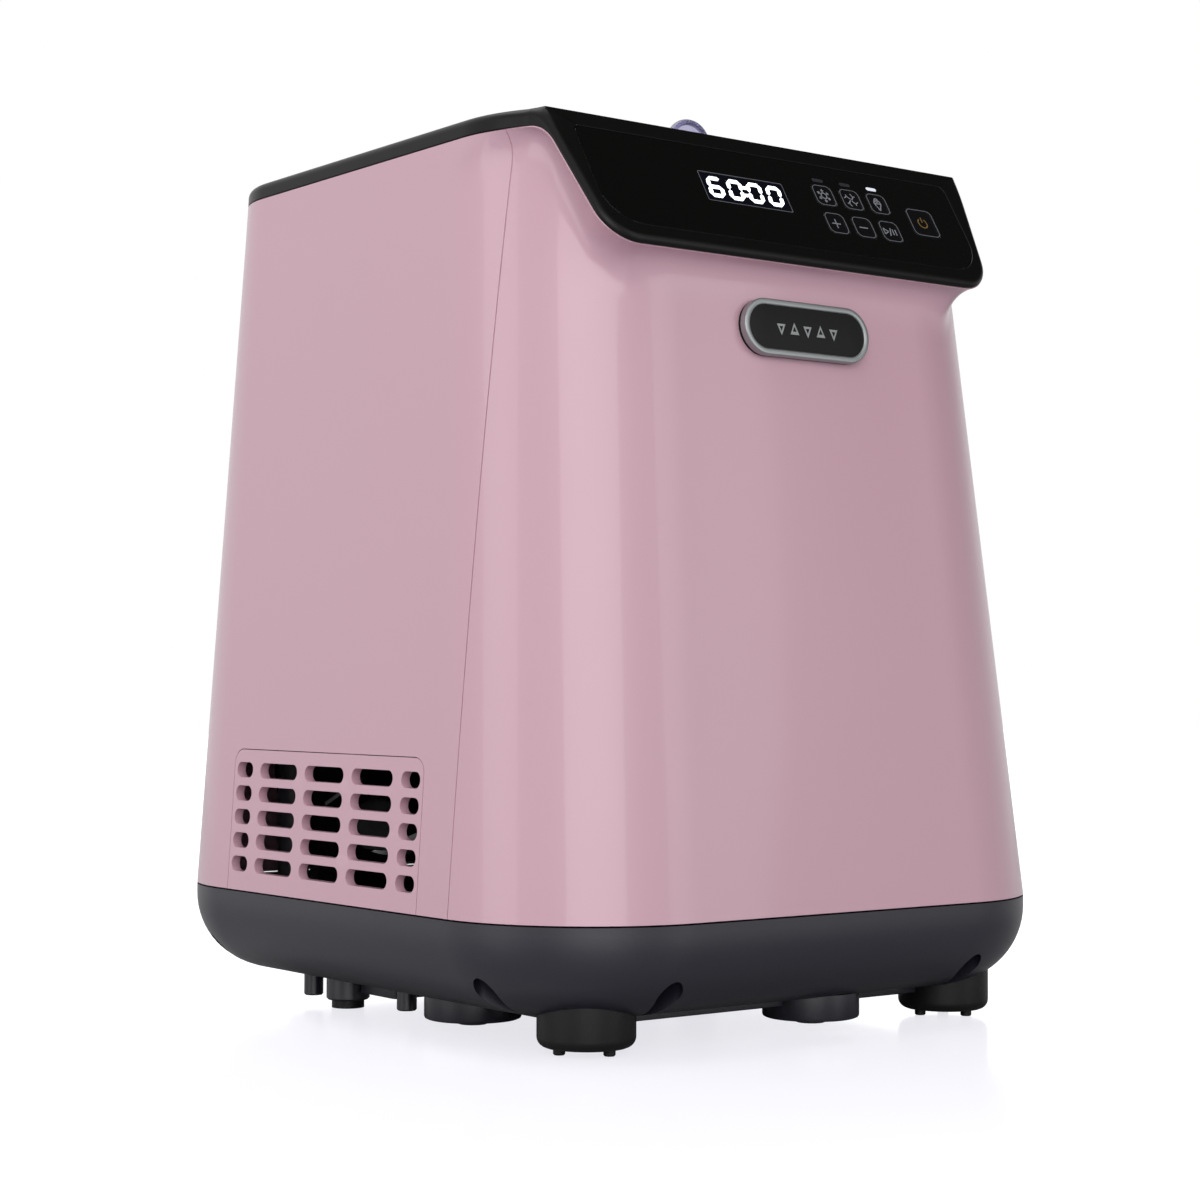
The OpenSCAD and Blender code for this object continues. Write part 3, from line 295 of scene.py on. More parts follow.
def mix(a: float, b: float, share: float) -> float:
    """Return the value that is the given share of the way from a to b."""
    return a + (b - a) * share


def ease(share: float) -> float:
    """Return a share smoothed at both ends."""
    share = min(1.0, max(0.0, share))
    return share * share * (3 - 2 * share)


def curve(points: Sequence[Vector], share: float) -> Vector:
    """Return a point on the Bezier curve through control points.

    Args:
        points: Two or more control points.
        share: How far along the curve, from nought to one.

    Returns:
        The point on the curve.
    """
    row = list(points)
    while len(row) > 1:
        row = [a.lerp(b, share) for a, b in zip(row, row[1:])]
    return row[0]


def sheet(bm: bmesh.types.BMesh, across: int, up: int, place: Callable[[float, float], Vector]) -> None:
    """Add a grid and lay it over a surface.

    Args:
        bm: The mesh being made.
        across: Number of faces across.
        up: Number of faces up.
        place: Gives the point for two shares from nought to one.
    """
    made = bmesh.ops.create_grid(bm, x_segments=across, y_segments=up, size=1.0)["verts"]
    for vert in made:
        vert.co = place((vert.co.x + 1) / 2, (vert.co.y + 1) / 2)


def rounded_box(width: float, height: float, radius: float, steps: int = 6,
                centre: tuple[float, float] = (0.0, 0.0)) -> list[tuple[float, float]]:
    """Return the outline of a rectangle with round corners, counter-clockwise.

    Args:
        width: Size across.
        height: Size up.
        radius: Corner radius.
        steps: Steps on each corner.
        centre: Middle of the outline.

    Returns:
        The outline's points.
    """
    points = []
    for turn, (sx, sy) in enumerate(((1, 1), (-1, 1), (-1, -1), (1, -1))):
        for step in range(steps + 1):
            middle = (centre[0] + sx * (width / 2 - radius), centre[1] + sy * (height / 2 - radius))
            points.append(polar(middle, radius, math.radians(90 * (turn + step / steps))))
    return points


def polar(centre: tuple[float, float], radius: float, angle: float) -> tuple[float, float]:
    """Return the point at a radius and an angle in radians from a centre."""
    return (centre[0] + radius * math.cos(angle), centre[1] + radius * math.sin(angle))


def circle(radius: float, steps: int = 48,
           centre: tuple[float, float] = (0.0, 0.0)) -> list[tuple[float, float]]:
    """Return the points of a circle, counter-clockwise.

    Args:
        radius: Radius of the circle.
        steps: Number of points.
        centre: Middle of the circle.

    Returns:
        The circle's points.
    """
    return [polar(centre, radius, math.tau * i / steps) for i in range(steps)]


def loop(bm: bmesh.types.BMesh, points: Iterable[Vector]) -> list[bmesh.types.BMEdge]:
    """Add a closed loop of edges.

    Args:
        bm: The mesh being made.
        points: The loop's points in order.

    Returns:
        The new edges.
    """
    verts = [bm.verts.new(p) for p in points]
    return [bm.edges.new((a, b)) for a, b in zip(verts, verts[1:] + verts[:1])]


def fill(bm: bmesh.types.BMesh, outlines: Iterable[Iterable[Vector]]) -> list[bmesh.types.BMFace]:
    """Fill the flat area between an outline and the holes in it.

    Args:
        bm: The mesh being made.
        outlines: The outer outline and the outlines of the holes.

    Returns:
        The new faces.
    """
    edges = [edge for outline in outlines for edge in loop(bm, outline)]
    made = bmesh.ops.triangle_fill(bm, use_beauty=True, use_dissolve=False, edges=edges)["geom"]
    return [item for item in made if isinstance(item, bmesh.types.BMFace)]


def plate(bm: bmesh.types.BMesh, outer: Outline, holes: Iterable[Outline], low: float, high: float,
          place: Place, soft: float = 0.0, steps: int = 3) -> None:
    """Add a flat plate with holes, with its front edges softened.

    Args:
        bm: The mesh being made.
        outer: Outline of the plate.
        holes: Outlines of its holes.
        low: Height of its back.
        high: Height of its front.
        place: Turns across, up and height into a point.
        soft: Radius of the softened front edges.
        steps: Steps in that radius.
    """
    part = bmesh.new()
    front = fill(part, [[Vector((x, y, high)) for x, y in line] for line in [outer, *holes]])
    made = bmesh.ops.extrude_face_region(part, geom=front)["geom"]
    bmesh.ops.translate(part, vec=(0, 0, low - high), verts=new_verts(made))
    bmesh.ops.recalc_face_normals(part, faces=part.faces)
    if soft:
        edges = [e for e in part.edges if all(abs(v.co.z - high) < 1e-4 for v in e.verts)
                 and e.calc_face_angle(0) > 0.8]
        bmesh.ops.bevel(part, geom=edges, offset=soft, offset_type="OFFSET", segments=steps, profile=0.5,
                        affect="EDGES", clamp_overlap=True, material=-1)
    for vert in part.verts:
        vert.co = place(vert.co.x, vert.co.y, vert.co.z)
    join(bm, part)


def join(bm: bmesh.types.BMesh, part: bmesh.types.BMesh) -> None:
    """Move a finished part into a bigger mesh.

    Args:
        bm: The mesh being made.
        part: The part, which is used up.
    """
    part.normal_update()
    bmesh.ops.recalc_face_normals(part, faces=part.faces)
    carried = bpy.data.meshes.new("carried")
    part.to_mesh(carried)
    part.free()
    bm.from_mesh(carried)
    bpy.data.meshes.remove(carried)


def face_out(bm: bmesh.types.BMesh, faces: Optional[Sequence[bmesh.types.BMFace]] = None,
             side: int = -1) -> None:
    """Turn an open skin's faces outwards.

    Args:
        bm: The mesh being made.
        faces: Its faces, or all of them when left out.
        side: Minus one or one, for the side on which the outermost face is looked at.
    """
    skin = list(bm.faces) if faces is None else list(faces)
    bm.normal_update()
    bmesh.ops.recalc_face_normals(bm, faces=skin)
    outermost = max(skin, key=lambda face: face.calc_center_median().x * side)
    if outermost.normal.x * side < 0:
        bmesh.ops.reverse_faces(bm, faces=skin)


def new_verts(made: Iterable[object]) -> list[bmesh.types.BMVert]:
    """Return the vertices among what an operator made."""
    return [item for item in made if isinstance(item, bmesh.types.BMVert)]


def turned(bm: bmesh.types.BMesh, profile: Sequence[tuple[float, float]], centre: tuple[float, float],
           steps: int = 48) -> None:
    """Add a solid turned about an upright axis.

    Args:
        bm: The mesh being made.
        profile: Radius and height of each point, from the axis and back to it.
        centre: Where the axis stands.
        steps: Steps round the axis.
    """
    part = bmesh.new()
    verts = [part.verts.new((r, 0, z)) for r, z in profile]
    edges = [part.edges.new(pair) for pair in zip(verts, verts[1:])]
    bmesh.ops.spin(part, geom=verts + edges, cent=(0, 0, 0), axis=(0, 0, 1), dvec=(0, 0, 0),
                   angle=math.tau, steps=steps, use_merge=True, use_duplicate=False)
    bmesh.ops.remove_doubles(part, verts=part.verts, dist=WELD_FINE)
    bmesh.ops.translate(part, vec=(centre[0], centre[1], 0), verts=part.verts)
    join(bm, part)


def finish_piece(bm: bmesh.types.BMesh, name: str, finish: Finish, body: str, stands_for: Sequence[str] = (),
                 crease: float = 34.0) -> bpy.types.Object:
    """Turn a mesh in millimetres into a dressed piece that rides on a body.

    Args:
        bm: The mesh in millimetres, which is used up.
        name: Name of the piece.
        finish: Its finish.
        body: The body that it rides on.
        stands_for: Frame nodes that it takes the place of.
        crease: Angle in degrees past which an edge stays sharp.

    Returns:
        The finished object.
    """
    bmesh.ops.scale(bm, vec=(MM, MM, MM), verts=bm.verts)
    mesh = bpy.data.meshes.new(name)
    bm.to_mesh(mesh)
    bm.free()
    mesh.shade_smooth()
    mesh.set_sharp_from_angle(angle=math.radians(crease))
    piece = bpy.data.objects.new(name, mesh)
    bpy.context.scene.collection.objects.link(piece)
    mesh.materials.append(finish.material())
    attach(piece, body)
    if stands_for:
        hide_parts(*stands_for)
    log.info("%s: %d faces, %s", name, len(mesh.polygons), finish.name)
    return piece


def wall(piece: bpy.types.Object, thick: float) -> None:
    """Give an open skin its thickness, inwards."""
    made = piece.modifiers.new("wall", "SOLIDIFY")
    made.thickness = thick * MM
    made.offset = -1.0


def soften(piece: bpy.types.Object, width: float, angle: float = 40.0, steps: int = 2) -> None:
    """Round a piece's sharp edges.

    Args:
        piece: The piece.
        width: Width of the rounding.
        angle: Edges sharper than this angle in degrees are rounded.
        steps: Steps in the rounding.
    """
    made = piece.modifiers.new("soft_edges", "BEVEL")
    made.width = width * MM
    made.segments = steps
    made.limit_method = "ANGLE"
    made.angle_limit = math.radians(angle)
    made.harden_normals = True


def cut(piece: bpy.types.Object, cutter: bmesh.types.BMesh) -> None:
    """Cut a shape in millimetres out of a piece, after the modifiers that it has so far.

    Args:
        piece: The piece.
        cutter: Closed mesh, which is used up.
    """
    bmesh.ops.scale(cutter, vec=(MM, MM, MM), verts=cutter.verts)
    mesh = bpy.data.meshes.new("cutter")
    cutter.to_mesh(mesh)
    cutter.free()
    tool = bpy.data.objects.new("cutter", mesh)
    bpy.context.scene.collection.objects.link(tool)
    made = piece.modifiers.new("cut", "BOOLEAN")
    made.operation = "DIFFERENCE"
    made.solver = "EXACT"
    made.object = tool
    settle(piece)
    bpy.data.objects.remove(tool)


def settle(piece: bpy.types.Object) -> None:
    """Make a piece's modifiers part of its mesh."""
    bpy.context.view_layer.update()
    graph = bpy.context.evaluated_depsgraph_get()
    mesh = bpy.data.meshes.new_from_object(piece.evaluated_get(graph))
    old = piece.data
    piece.modifiers.clear()
    piece.data = mesh
    mesh.name = piece.name
    bpy.data.meshes.remove(old)


# ---------------------------------------------------------------- shared form


@dataclass
class Form:
    """Outside form of the casing: leaning walls, round corners and the control slope.

    A place round the casing is a share of one half, from the middle of the front
    at nought to the middle of the back at one. It is negative on the left half.
    """

    base_w: float
    base_d: float
    rim_z: float
    seam_z: float
    rim_h: float = 6.6
    lean_side: float = 16.7
    lean_front: float = 28.7
    lean_back: float = 19.4
    corner_base: float = 58.0
    front_corner: float = 54.0
    rear_corner: float = 40.0
    crown: float = 0.7
    cove_h: float = 19.0
    wall_share: float = 0.5
    # How far out the cove leans at its top, the flare that calls for it, and how far each end holds its line
    cove_lean: float = 0.9
    cove_flare: float = 7.0
    cove_rise: float = 0.55
    cove_arrive: float = 0.3
    slope_y: float = 92.7
    slope_tilt: float = 59.0
    edge_depth: float = 2.6
    lip_down: float = 53.4
    lip_x: float = 74.6
    lip_r: float = 15.0
    lip_turn: float = 79.4
    lip_top_x: float = 95.95
    lip_top_down: float = 6.14
    side_end_down: float = 13.0
    rim_centre: tuple[float, float] = (52.2, -60.2)
    rim_r: float = 53.0
    rim_join: float = 60.0
    steps: int = 200
    # Where the front straight, front corner, side, back corner and back straight end
    ends: tuple[float, float, float, float] = (0.16, 0.44, 0.66, 0.86)
    # Where the lip's straight, its corner, its side, and the corner of the slope end
    bends: tuple[float, float, float, float] = (0.21, 0.26, 0.30, 0.34)

    @classmethod
    def from_frame(cls) -> "Form":
        """Return the form with its main sizes taken from the frame."""
        low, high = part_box("base_tray")
        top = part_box("top_bezel")[1]
        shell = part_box("front_shell")[0]
        return cls(base_w=(high.x - low.x) / MM, base_d=(high.y - low.y) / MM, rim_z=top.z / MM,
                   seam_z=shell.z / MM)

    @property
    def band_z(self) -> float:
        """Height of the lower edge of the black rim band."""
        return self.rim_z - self.rim_h

    @property
    def crest(self) -> float:
        """Place of the corner where the slope meets the flat top."""
        return (self.bends[2] + self.bends[3]) / 2

    def half_w(self, z: float) -> float:
        """Return half the casing's width at a height."""
        return self.base_w / 2 - self.lean_side * (z - self.seam_z) / (self.band_z - self.seam_z)

    def slope(self, x: float, down: float, out: float = 0.0) -> Vector:
        """Return a point on the control slope.

        Args:
            x: Distance across from the middle.
            down: Distance down from the top edge.
            out: Height above the surface.

        Returns:
            The point.
        """
        tilt = math.radians(self.slope_tilt)
        return at(x, -self.slope_y - math.cos(tilt) * down - math.sin(tilt) * out,
                  self.rim_z - math.sin(tilt) * down + math.cos(tilt) * out)

    def outward(self, place: float) -> Vector:
        """Return the level direction that the wall faces on the right half."""
        a, b, c, d = self.ends
        if place <= b:
            angle = math.radians(90 * max(0.0, (place - a) / (b - a)))
            return at(math.sin(angle), -math.cos(angle), 0)
        if place <= c:
            return at(1, 0, 0)
        angle = math.radians(90 * min(1.0, (place - c) / (d - c)))
        return at(math.cos(angle), math.sin(angle), 0)

    def plan(self, place: float, z: float, inset: float = 0.0) -> Vector:
        """Return a point on the wall's outline at a height, on the right half.

        Args:
            place: Share of the way round the half.
            z: Height.
            inset: Distance inside the outline.

        Returns:
            The point.
        """
        share = (z - self.seam_z) / (self.band_z - self.seam_z)
        half = self.half_w(z) - inset
        front = -self.base_d / 2 + self.lean_front * share + inset
        back = self.base_d / 2 - self.lean_back * share - inset
        fr = mix(self.corner_base, self.front_corner, share) - inset
        rr = mix(self.corner_base, self.rear_corner, share) - inset
        a, b, c, d = self.ends
        if place <= a:
            across = place / a
            bulge = self.crown * math.sin(math.pi * min(1.0, max(0.0, share))) * (1 - across ** 2) ** 2
            return at((half - fr) * across, front - bulge, z)
        out = self.outward(place)
        if place <= b:
            return at(half - fr, front + fr, z) + out * fr
        if place <= c:
            return at(half, mix(front + fr, back - rr, (place - b) / (c - b)), z)
        if place <= d:
            return at(half - rr, back - rr, z) + out * rr
        return at((half - rr) * (1 - place) / (1 - d), back, z)

    def rim_arc(self, angle: float, z: float, inset: float = 0.0) -> Vector:
        """Return a point on the rim's front corner, at an angle in degrees from facing forwards."""
        turn = math.radians(angle)
        reach = self.rim_r - inset
        return at(self.rim_centre[0] + reach * math.sin(turn), self.rim_centre[1] - reach * math.cos(turn), z)

    def lip_side_x(self, down: float, inset: float = 0.0) -> float:
        """Return the half width of the slope at a distance down its side."""
        end_x, end_down = self.lip_corner(self.lip_turn)
        lean = (self.lip_top_x - end_x) / (end_down - self.lip_top_down)
        return self.lip_top_x - lean * (down - self.lip_top_down) - inset

    def lip_corner(self, angle: float, inset: float = 0.0) -> tuple[float, float]:
        """Return across and down of a point on the lip's corner, at an angle in degrees from its foot."""
        turn = math.radians(angle)
        reach = self.lip_r - inset
        return (self.lip_x + reach * math.sin(turn), self.lip_down - self.lip_r + reach * math.cos(turn))

    def rim_line(self, place: float, inset: float, depth: float, z: float) -> Vector:
        """Return a point on the line where the slope and the rim end, on the right half.

        Args:
            place: Share of the way round the half.
            inset: Distance inside the outline.
            depth: Distance below the slope's surface.
            z: Height on the rim.

        Returns:
            The point.
        """
        a, b, c, d = self.ends
        straight, corner, side, join_end = self.bends
        if place <= straight:
            return self.slope(self.lip_x * place / straight, self.lip_down - inset, -depth)
        if place <= corner:
            across, down = self.lip_corner(self.lip_turn * (place - straight) / (corner - straight), inset)
            return self.slope(across, down, -depth)
        if place <= side:
            share = (place - corner) / (side - corner)
            down = mix(self.lip_corner(self.lip_turn)[1], self.side_end_down, share)
            return self.slope(self.lip_side_x(down, inset), down, -depth)
        if place <= join_end:
            meet_down = (self.rim_z - z - depth * math.cos(math.radians(self.slope_tilt))) / math.sin(
                math.radians(self.slope_tilt))
            first = self.slope(self.lip_side_x(self.side_end_down, inset), self.side_end_down, -depth)
            meet = self.slope(self.lip_side_x(meet_down, inset), meet_down, -depth)
            last = self.rim_arc(self.rim_join, z, inset)
            share = (place - side) / (join_end - side)
            if depth == 0:
                return first.lerp(meet, share * 2) if share < 0.5 else meet.lerp(last, share * 2 - 1)
            return curve([first, meet, last], share)
        if place <= b:
            return self.rim_arc(mix(self.rim_join, 90, (place - join_end) / (b - join_end)), z, inset)
        half = self.rim_centre[0] + self.rim_r - inset
        back = self.base_d / 2 - self.lean_back - inset
        rr = self.rear_corner - inset
        if place <= c:
            return at(half, mix(self.rim_centre[1], back - rr, (place - b) / (c - b)), z)
        if place <= d:
            return at(half - rr, back - rr, z) + self.outward(place) * rr
        return at((half - rr) * (1 - place) / (1 - d), back, z)

    def edge(self, place: float) -> Vector:
        """Return a point on the upper edge of the coloured casing, on the right half."""
        return self.rim_line(place, 0.0, self.edge_depth, self.band_z)

    def skin(self, place: float, up: float) -> Vector:
        """Return a point on the coloured casing: a straight wall, then the cove under the slope.

        Args:
            place: Signed share of the way round a half.
            up: Share of the way up.

        Returns:
            The point.
        """
        half = abs(place)
        edge = self.edge(half)
        start_z = edge.z - self.cove_h
        if up <= self.wall_share:
            point = self.plan(half, mix(self.seam_z, start_z, up / self.wall_share))
        else:
            foot = self.plan(half, start_z)
            rise = (self.plan(half, start_z + 1) - foot).normalized()
            out = self.outward(half)
            flare = max(0.0, (edge - self.plan(half, edge.z)).dot(out))
            lean = self.cove_lean * ease(flare / self.cove_flare)
            arrive = (rise * (1 - lean) + out * lean).normalized()
            reach = (edge - foot).length
            low, high = foot + rise * reach * self.cove_rise, edge - arrive * reach * self.cove_arrive
            point = curve([foot, low, high, edge], (up - self.wall_share) / (1 - self.wall_share))
        return at(point.x if place >= 0 else -point.x, point.y, point.z)

    def both(self, points: Sequence[Vector]) -> list[Vector]:
        """Return the points of the right half followed by their mirror images in turn."""
        mirrored = [at(-p.x, p.y, p.z) for p in reversed(points)]
        return [*points, *[m for m in mirrored if all((m - p).length > 0.01 for p in points)]]

    def places(self, first: float, last: float) -> list[float]:
        """Return the shared places from one to another, both included."""
        return [i / self.steps for i in range(round(first * self.steps), round(last * self.steps) + 1)]


# ---------------------------------------------------------------- casing


@dataclass
class Casing:
    """The two coloured shells with their vent panels."""

    form: Form
    thick: float = 2.6
    front_soft: float = 0.45
    rear_soft: float = 0.4
    rows: int = 28
    split_y: float = -78.0
    split_lean: float = 2.0
    gap: float = 0.18
    tongue: float = 2.0
    tongue_t: float = 1.2
    groove: float = 0.35
    vent_y: float = 4.2
    vent_half: float = 63.6
    vent_top: float = 95.5
    vent_corner: float = 5.5
    vent_depth: float = 3.4
    vent_soft: float = 0.7
    vent_fit: tuple[float, float] = (0.2, -0.1)
    cut_reach: float = 12.0
    opening_fit: float = 0.3
    inlet_corner: float = 2.0
    slot_h: float = 5.6
    slot_long: float = 26.3
    slot_short: float = 11.6
    slot_gap: float = 5.3
    slot_z: float = 53.6
    slot_pitch: float = 8.6
    slot_rows: int = 5

    def split(self, side: int) -> bmesh.types.BMesh:
        """Return the casing's skin on one side of the split line.

        Args:
            side: Minus one for the front shell, one for the rest.

        Returns:
            The open skin.
        """
        bm = self.whole_skin()
        self.keep_side(bm, side, self.gap)
        face_out(bm)
        return bm

    def whole_skin(self) -> bmesh.types.BMesh:
        """Return the whole casing's skin, before it is split."""
        bm = bmesh.new()
        sheet(bm, 2 * self.form.steps, self.rows, lambda u, v: self.form.skin(2 * u - 1, v))
        bmesh.ops.remove_doubles(bm, verts=bm.verts, dist=WELD_SKIN)
        return bm

    def keep_side(self, bm: bmesh.types.BMesh, side: int, beyond: float) -> None:
        """Cut a skin along the split line and keep one side of it.

        Args:
            bm: The skin.
            side: Minus one for the front side, one for the rear side.
            beyond: How far past the split line the cut lies, on the side that is kept.
        """
        rise = self.form.band_z - self.form.seam_z
        normal = Vector((0, rise, self.split_lean)).normalized() * side
        start = at(0, self.split_y + side * beyond, self.form.seam_z)
        bmesh.ops.bisect_plane(bm, geom=[*bm.verts, *bm.edges, *bm.faces], plane_co=start, plane_no=normal,
                               clear_inner=True)

    def vent_outline(self, grow: float) -> list[tuple[float, float]]:
        """Return the vent panel's outline, along the side and up, grown a little."""
        half = self.vent_half + grow
        top = self.vent_top + grow
        r = self.vent_corner + grow
        low = self.form.seam_z - max(grow, 0.0) * 3
        arcs = [(self.vent_y + s * (half - r), angle) for s, angle in ((1, 0), (-1, 90))]
        round_top = [polar((y, top - r), r, math.radians(angle + 15 * i))
                     for y, angle in arcs for i in range(7)]
        return [*round_top, (self.vent_y - half, low), (self.vent_y + half, low)]

    def slots(self) -> list[list[tuple[float, float]]]:
        """Return the outlines of the vent slots, along the side and up."""
        step = self.slot_long + self.slot_gap
        ends = step + (self.slot_long + self.slot_short) / 2 + self.slot_gap
        columns = [(-ends, self.slot_short), *[(k * step, self.slot_long) for k in (-1, 0, 1)],
                   (ends, self.slot_short)]
        return [rounded_box(width, self.slot_h, self.slot_h / 2 - END_EASE, 6,
                            (self.vent_y + y, self.slot_z + row * self.slot_pitch))
                for row in range(self.slot_rows) for y, width in columns]

    def on_side(self, side: int) -> Place:
        """Return what places along, up and out on a side wall."""
        return lambda y, z, out: at(side * (self.form.half_w(z) + out), y, z)

    def build(self) -> None:
        """Build the front shell, the side and rear shell and both vent panels."""
        front = finish_piece(self.split(-1), "front_casing", PINK_ABS, "housing", ["front_shell"])
        wall(front, self.thick)
        soften(front, self.front_soft)
        rear = finish_piece(self.split(1), "side_casing", PINK_ABS, "housing", ["side_rear_shell"])
        wall(rear, self.thick)
        tool = bmesh.new()
        for side in (-1, 1):
            plate(tool, self.vent_outline(self.vent_fit[0]), [], -self.cut_reach, self.cut_reach,
                  self.on_side(side))
        self.add_rear_cuts(tool)
        cut(rear, tool)
        soften(rear, self.rear_soft)
        self.build_seam_strip()
        for side, name in ((-1, "vent_panel_left"), (1, "vent_panel_right")):
            bm = bmesh.new()
            plate(bm, self.vent_outline(self.vent_fit[1]), self.slots(), -self.vent_depth, 0,
                  self.on_side(side), soft=self.vent_soft)
            finish_piece(bm, name, PINK_ABS, "housing", crease=FLAT_CREASE)

    def build_seam_strip(self) -> None:
        """Build the tongue behind the split line, which closes the gap between the shells."""
        bm = self.whole_skin()
        for side in (-1, 1):
            self.keep_side(bm, side, -self.tongue)
        for side in (-1, 1):
            half = [f for f in bm.faces if f.calc_center_median().x * side > 0]
            face_out(bm, half, side)
        for vert in bm.verts:
            vert.co.x -= math.copysign(self.groove, vert.co.x)
        strip = finish_piece(bm, "seam_tongue", PINK_ABS, "housing")
        wall(strip, self.tongue_t)

    def add_rear_cuts(self, tool: bmesh.types.BMesh) -> None:
        """Add the round fan opening and the inlet opening to a cutter."""
        fan_low, fan_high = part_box("fan_guard")
        inlet_low, inlet_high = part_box("power_inlet")
        fan = (fan_low + fan_high) / (2 * MM)
        inlet = (inlet_low + inlet_high) / (2 * MM)
        room = self.opening_fit
        radius = (fan_high.x - fan_low.x) / (2 * MM) + room
        size = ((inlet_high.x - inlet_low.x) / MM + room, (inlet_high.z - inlet_low.z) / MM + room)
        lean = self.form.lean_back / (self.form.band_z - self.form.seam_z)
        back = self.form.base_d / 2

        def place(x: float, z: float, out: float) -> Vector:
            return at(x, back - lean * (z - self.form.seam_z) + out, z)

        for outline in (circle(radius, 64, (fan.x, fan.z)),
                        rounded_box(*size, self.inlet_corner, 4, (inlet.x, inlet.z))):
            plate(tool, outline, [], -self.cut_reach, self.cut_reach, place)


# ---------------------------------------------------------------- top and slope


@dataclass
class TopBezel:
    """The black rim band, the recessed top plate and the sloping frame in one moulding."""

    form: Form
    gap: float = 0.3
    round_r: float = 3.0
    tuck: float = 2.0
    rows: int = 12
    recess_in: float = 4.0
    recess_z: float = 3.6
    well_r: float = 80.0
    well_low: float = 292.0
    plate_fit: float = 0.18
    plate_sunk: float = 2.2
    corner_in: float = 0.3
    just_under: float = 0.001

    def corner(self, place: float) -> Vector:
        """Return the sharp corner that the skin is rounded about."""
        return self.form.rim_line(place, self.corner_in, self.just_under, self.form.rim_z)

    def top(self, place: float) -> Vector:
        """Return where the rounding ends on the slope or on the flat top."""
        return self.form.rim_line(place, self.round_r, 0.0, self.form.rim_z)

    def skin(self, place: float, up: float) -> Vector:
        """Return a point on the outer skin, from the tucked lower edge to the top.

        Args:
            place: Signed share of the way round a half.
            up: Share of the way up.

        Returns:
            The point.
        """
        half = abs(place)
        corner = self.corner(half)
        top = self.top(half)
        edge = self.form.edge(half)
        foot = edge + (corner - edge).normalized() * self.gap
        reach = (corner - foot).length
        start = foot.lerp(corner, max(0.0, 1 - self.round_r / reach))
        inward = (top - corner).normalized()
        tucked = foot + inward * self.tuck
        share = up * self.rows
        if share <= 1:
            point = tucked.lerp(foot, share)
        elif share <= 2:
            point = foot.lerp(start, share - 1)
        else:
            angle = (share - 2) / (self.rows - 2) * math.pi / 2
            point = start + (corner - start) * math.sin(angle) + (top - corner) * (1 - math.cos(angle))
        return at(point.x if place >= 0 else -point.x, point.y, point.z)

    def plate_outline(self, panel: "ControlPanel", grow: float) -> list[Vector]:
        """Return the control plate's outline on the slope, grown a little."""
        return [self.form.slope(x, -y) for x, y in panel.outline(grow)]

    def recess(self, z: float) -> list[Vector]:
        """Return the outline of the sunk top plate at a height."""
        form = self.form
        right = [form.rim_line(p, self.recess_in + 1, 0, z) for p in form.places(form.bends[3], 1.0)]
        cut_y = -form.slope_y + self.recess_in
        kept = [at(p.x, max(p.y, cut_y), z) for p in right]
        return form.both(kept)

    def build(self, panel: "ControlPanel") -> None:
        """Build the moulding.

        Args:
            panel: The control panel that sits in it.
        """
        form = self.form
        bm = bmesh.new()
        sheet(bm, 2 * form.steps, self.rows, lambda u, v: self.skin(2 * u - 1, v))
        slope = form.both([self.top(p) for p in form.places(0.0, form.crest)])
        fill(bm, [slope, self.plate_outline(panel, self.plate_fit)])
        flat = form.both([self.top(p) for p in form.places(form.crest, 1.0)])
        rim = self.recess(form.rim_z)
        floor_z = form.rim_z - self.recess_z
        fill(bm, [flat, rim])
        self.drop(bm, rim, at(0, 0, -self.recess_z))
        well = [at(x, y, floor_z) for x, y in circle(self.well_r, 96)]
        fill(bm, [self.recess(floor_z), well])
        self.drop(bm, well, at(0, 0, self.well_low - floor_z))
        sunk = form.slope(0, 0, -self.plate_sunk) - form.slope(0, 0, 0)
        self.drop(bm, self.plate_outline(panel, self.plate_fit), sunk)
        bmesh.ops.remove_doubles(bm, verts=bm.verts, dist=WELD_TOP)
        bmesh.ops.recalc_face_normals(bm, faces=bm.faces)
        made = finish_piece(bm, "top_moulding", SATIN_ABS, "housing", ["top_bezel"])
        soften(made, 0.5, 50.0)

    def drop(self, bm: bmesh.types.BMesh, points: Sequence[Vector], by: Vector) -> None:
        """Add a wall that falls from a loop.

        Args:
            bm: The mesh being made.
            points: The loop.
            by: How far the wall falls.
        """
        edges = loop(bm, points)
        made = bmesh.ops.extrude_edge_only(bm, edges=edges)["geom"]
        bmesh.ops.translate(bm, vec=by, verts=new_verts(made))


class Icon(Enum):
    """What is printed on a key."""

    CRYSTAL = "key_chill"
    SWIRL = "key_mix"
    CONE = "key_cone"
    PLUS = "key_plus"
    MINUS = "key_minus"
    PLAY = "key_start"
    POWER = "key_power"


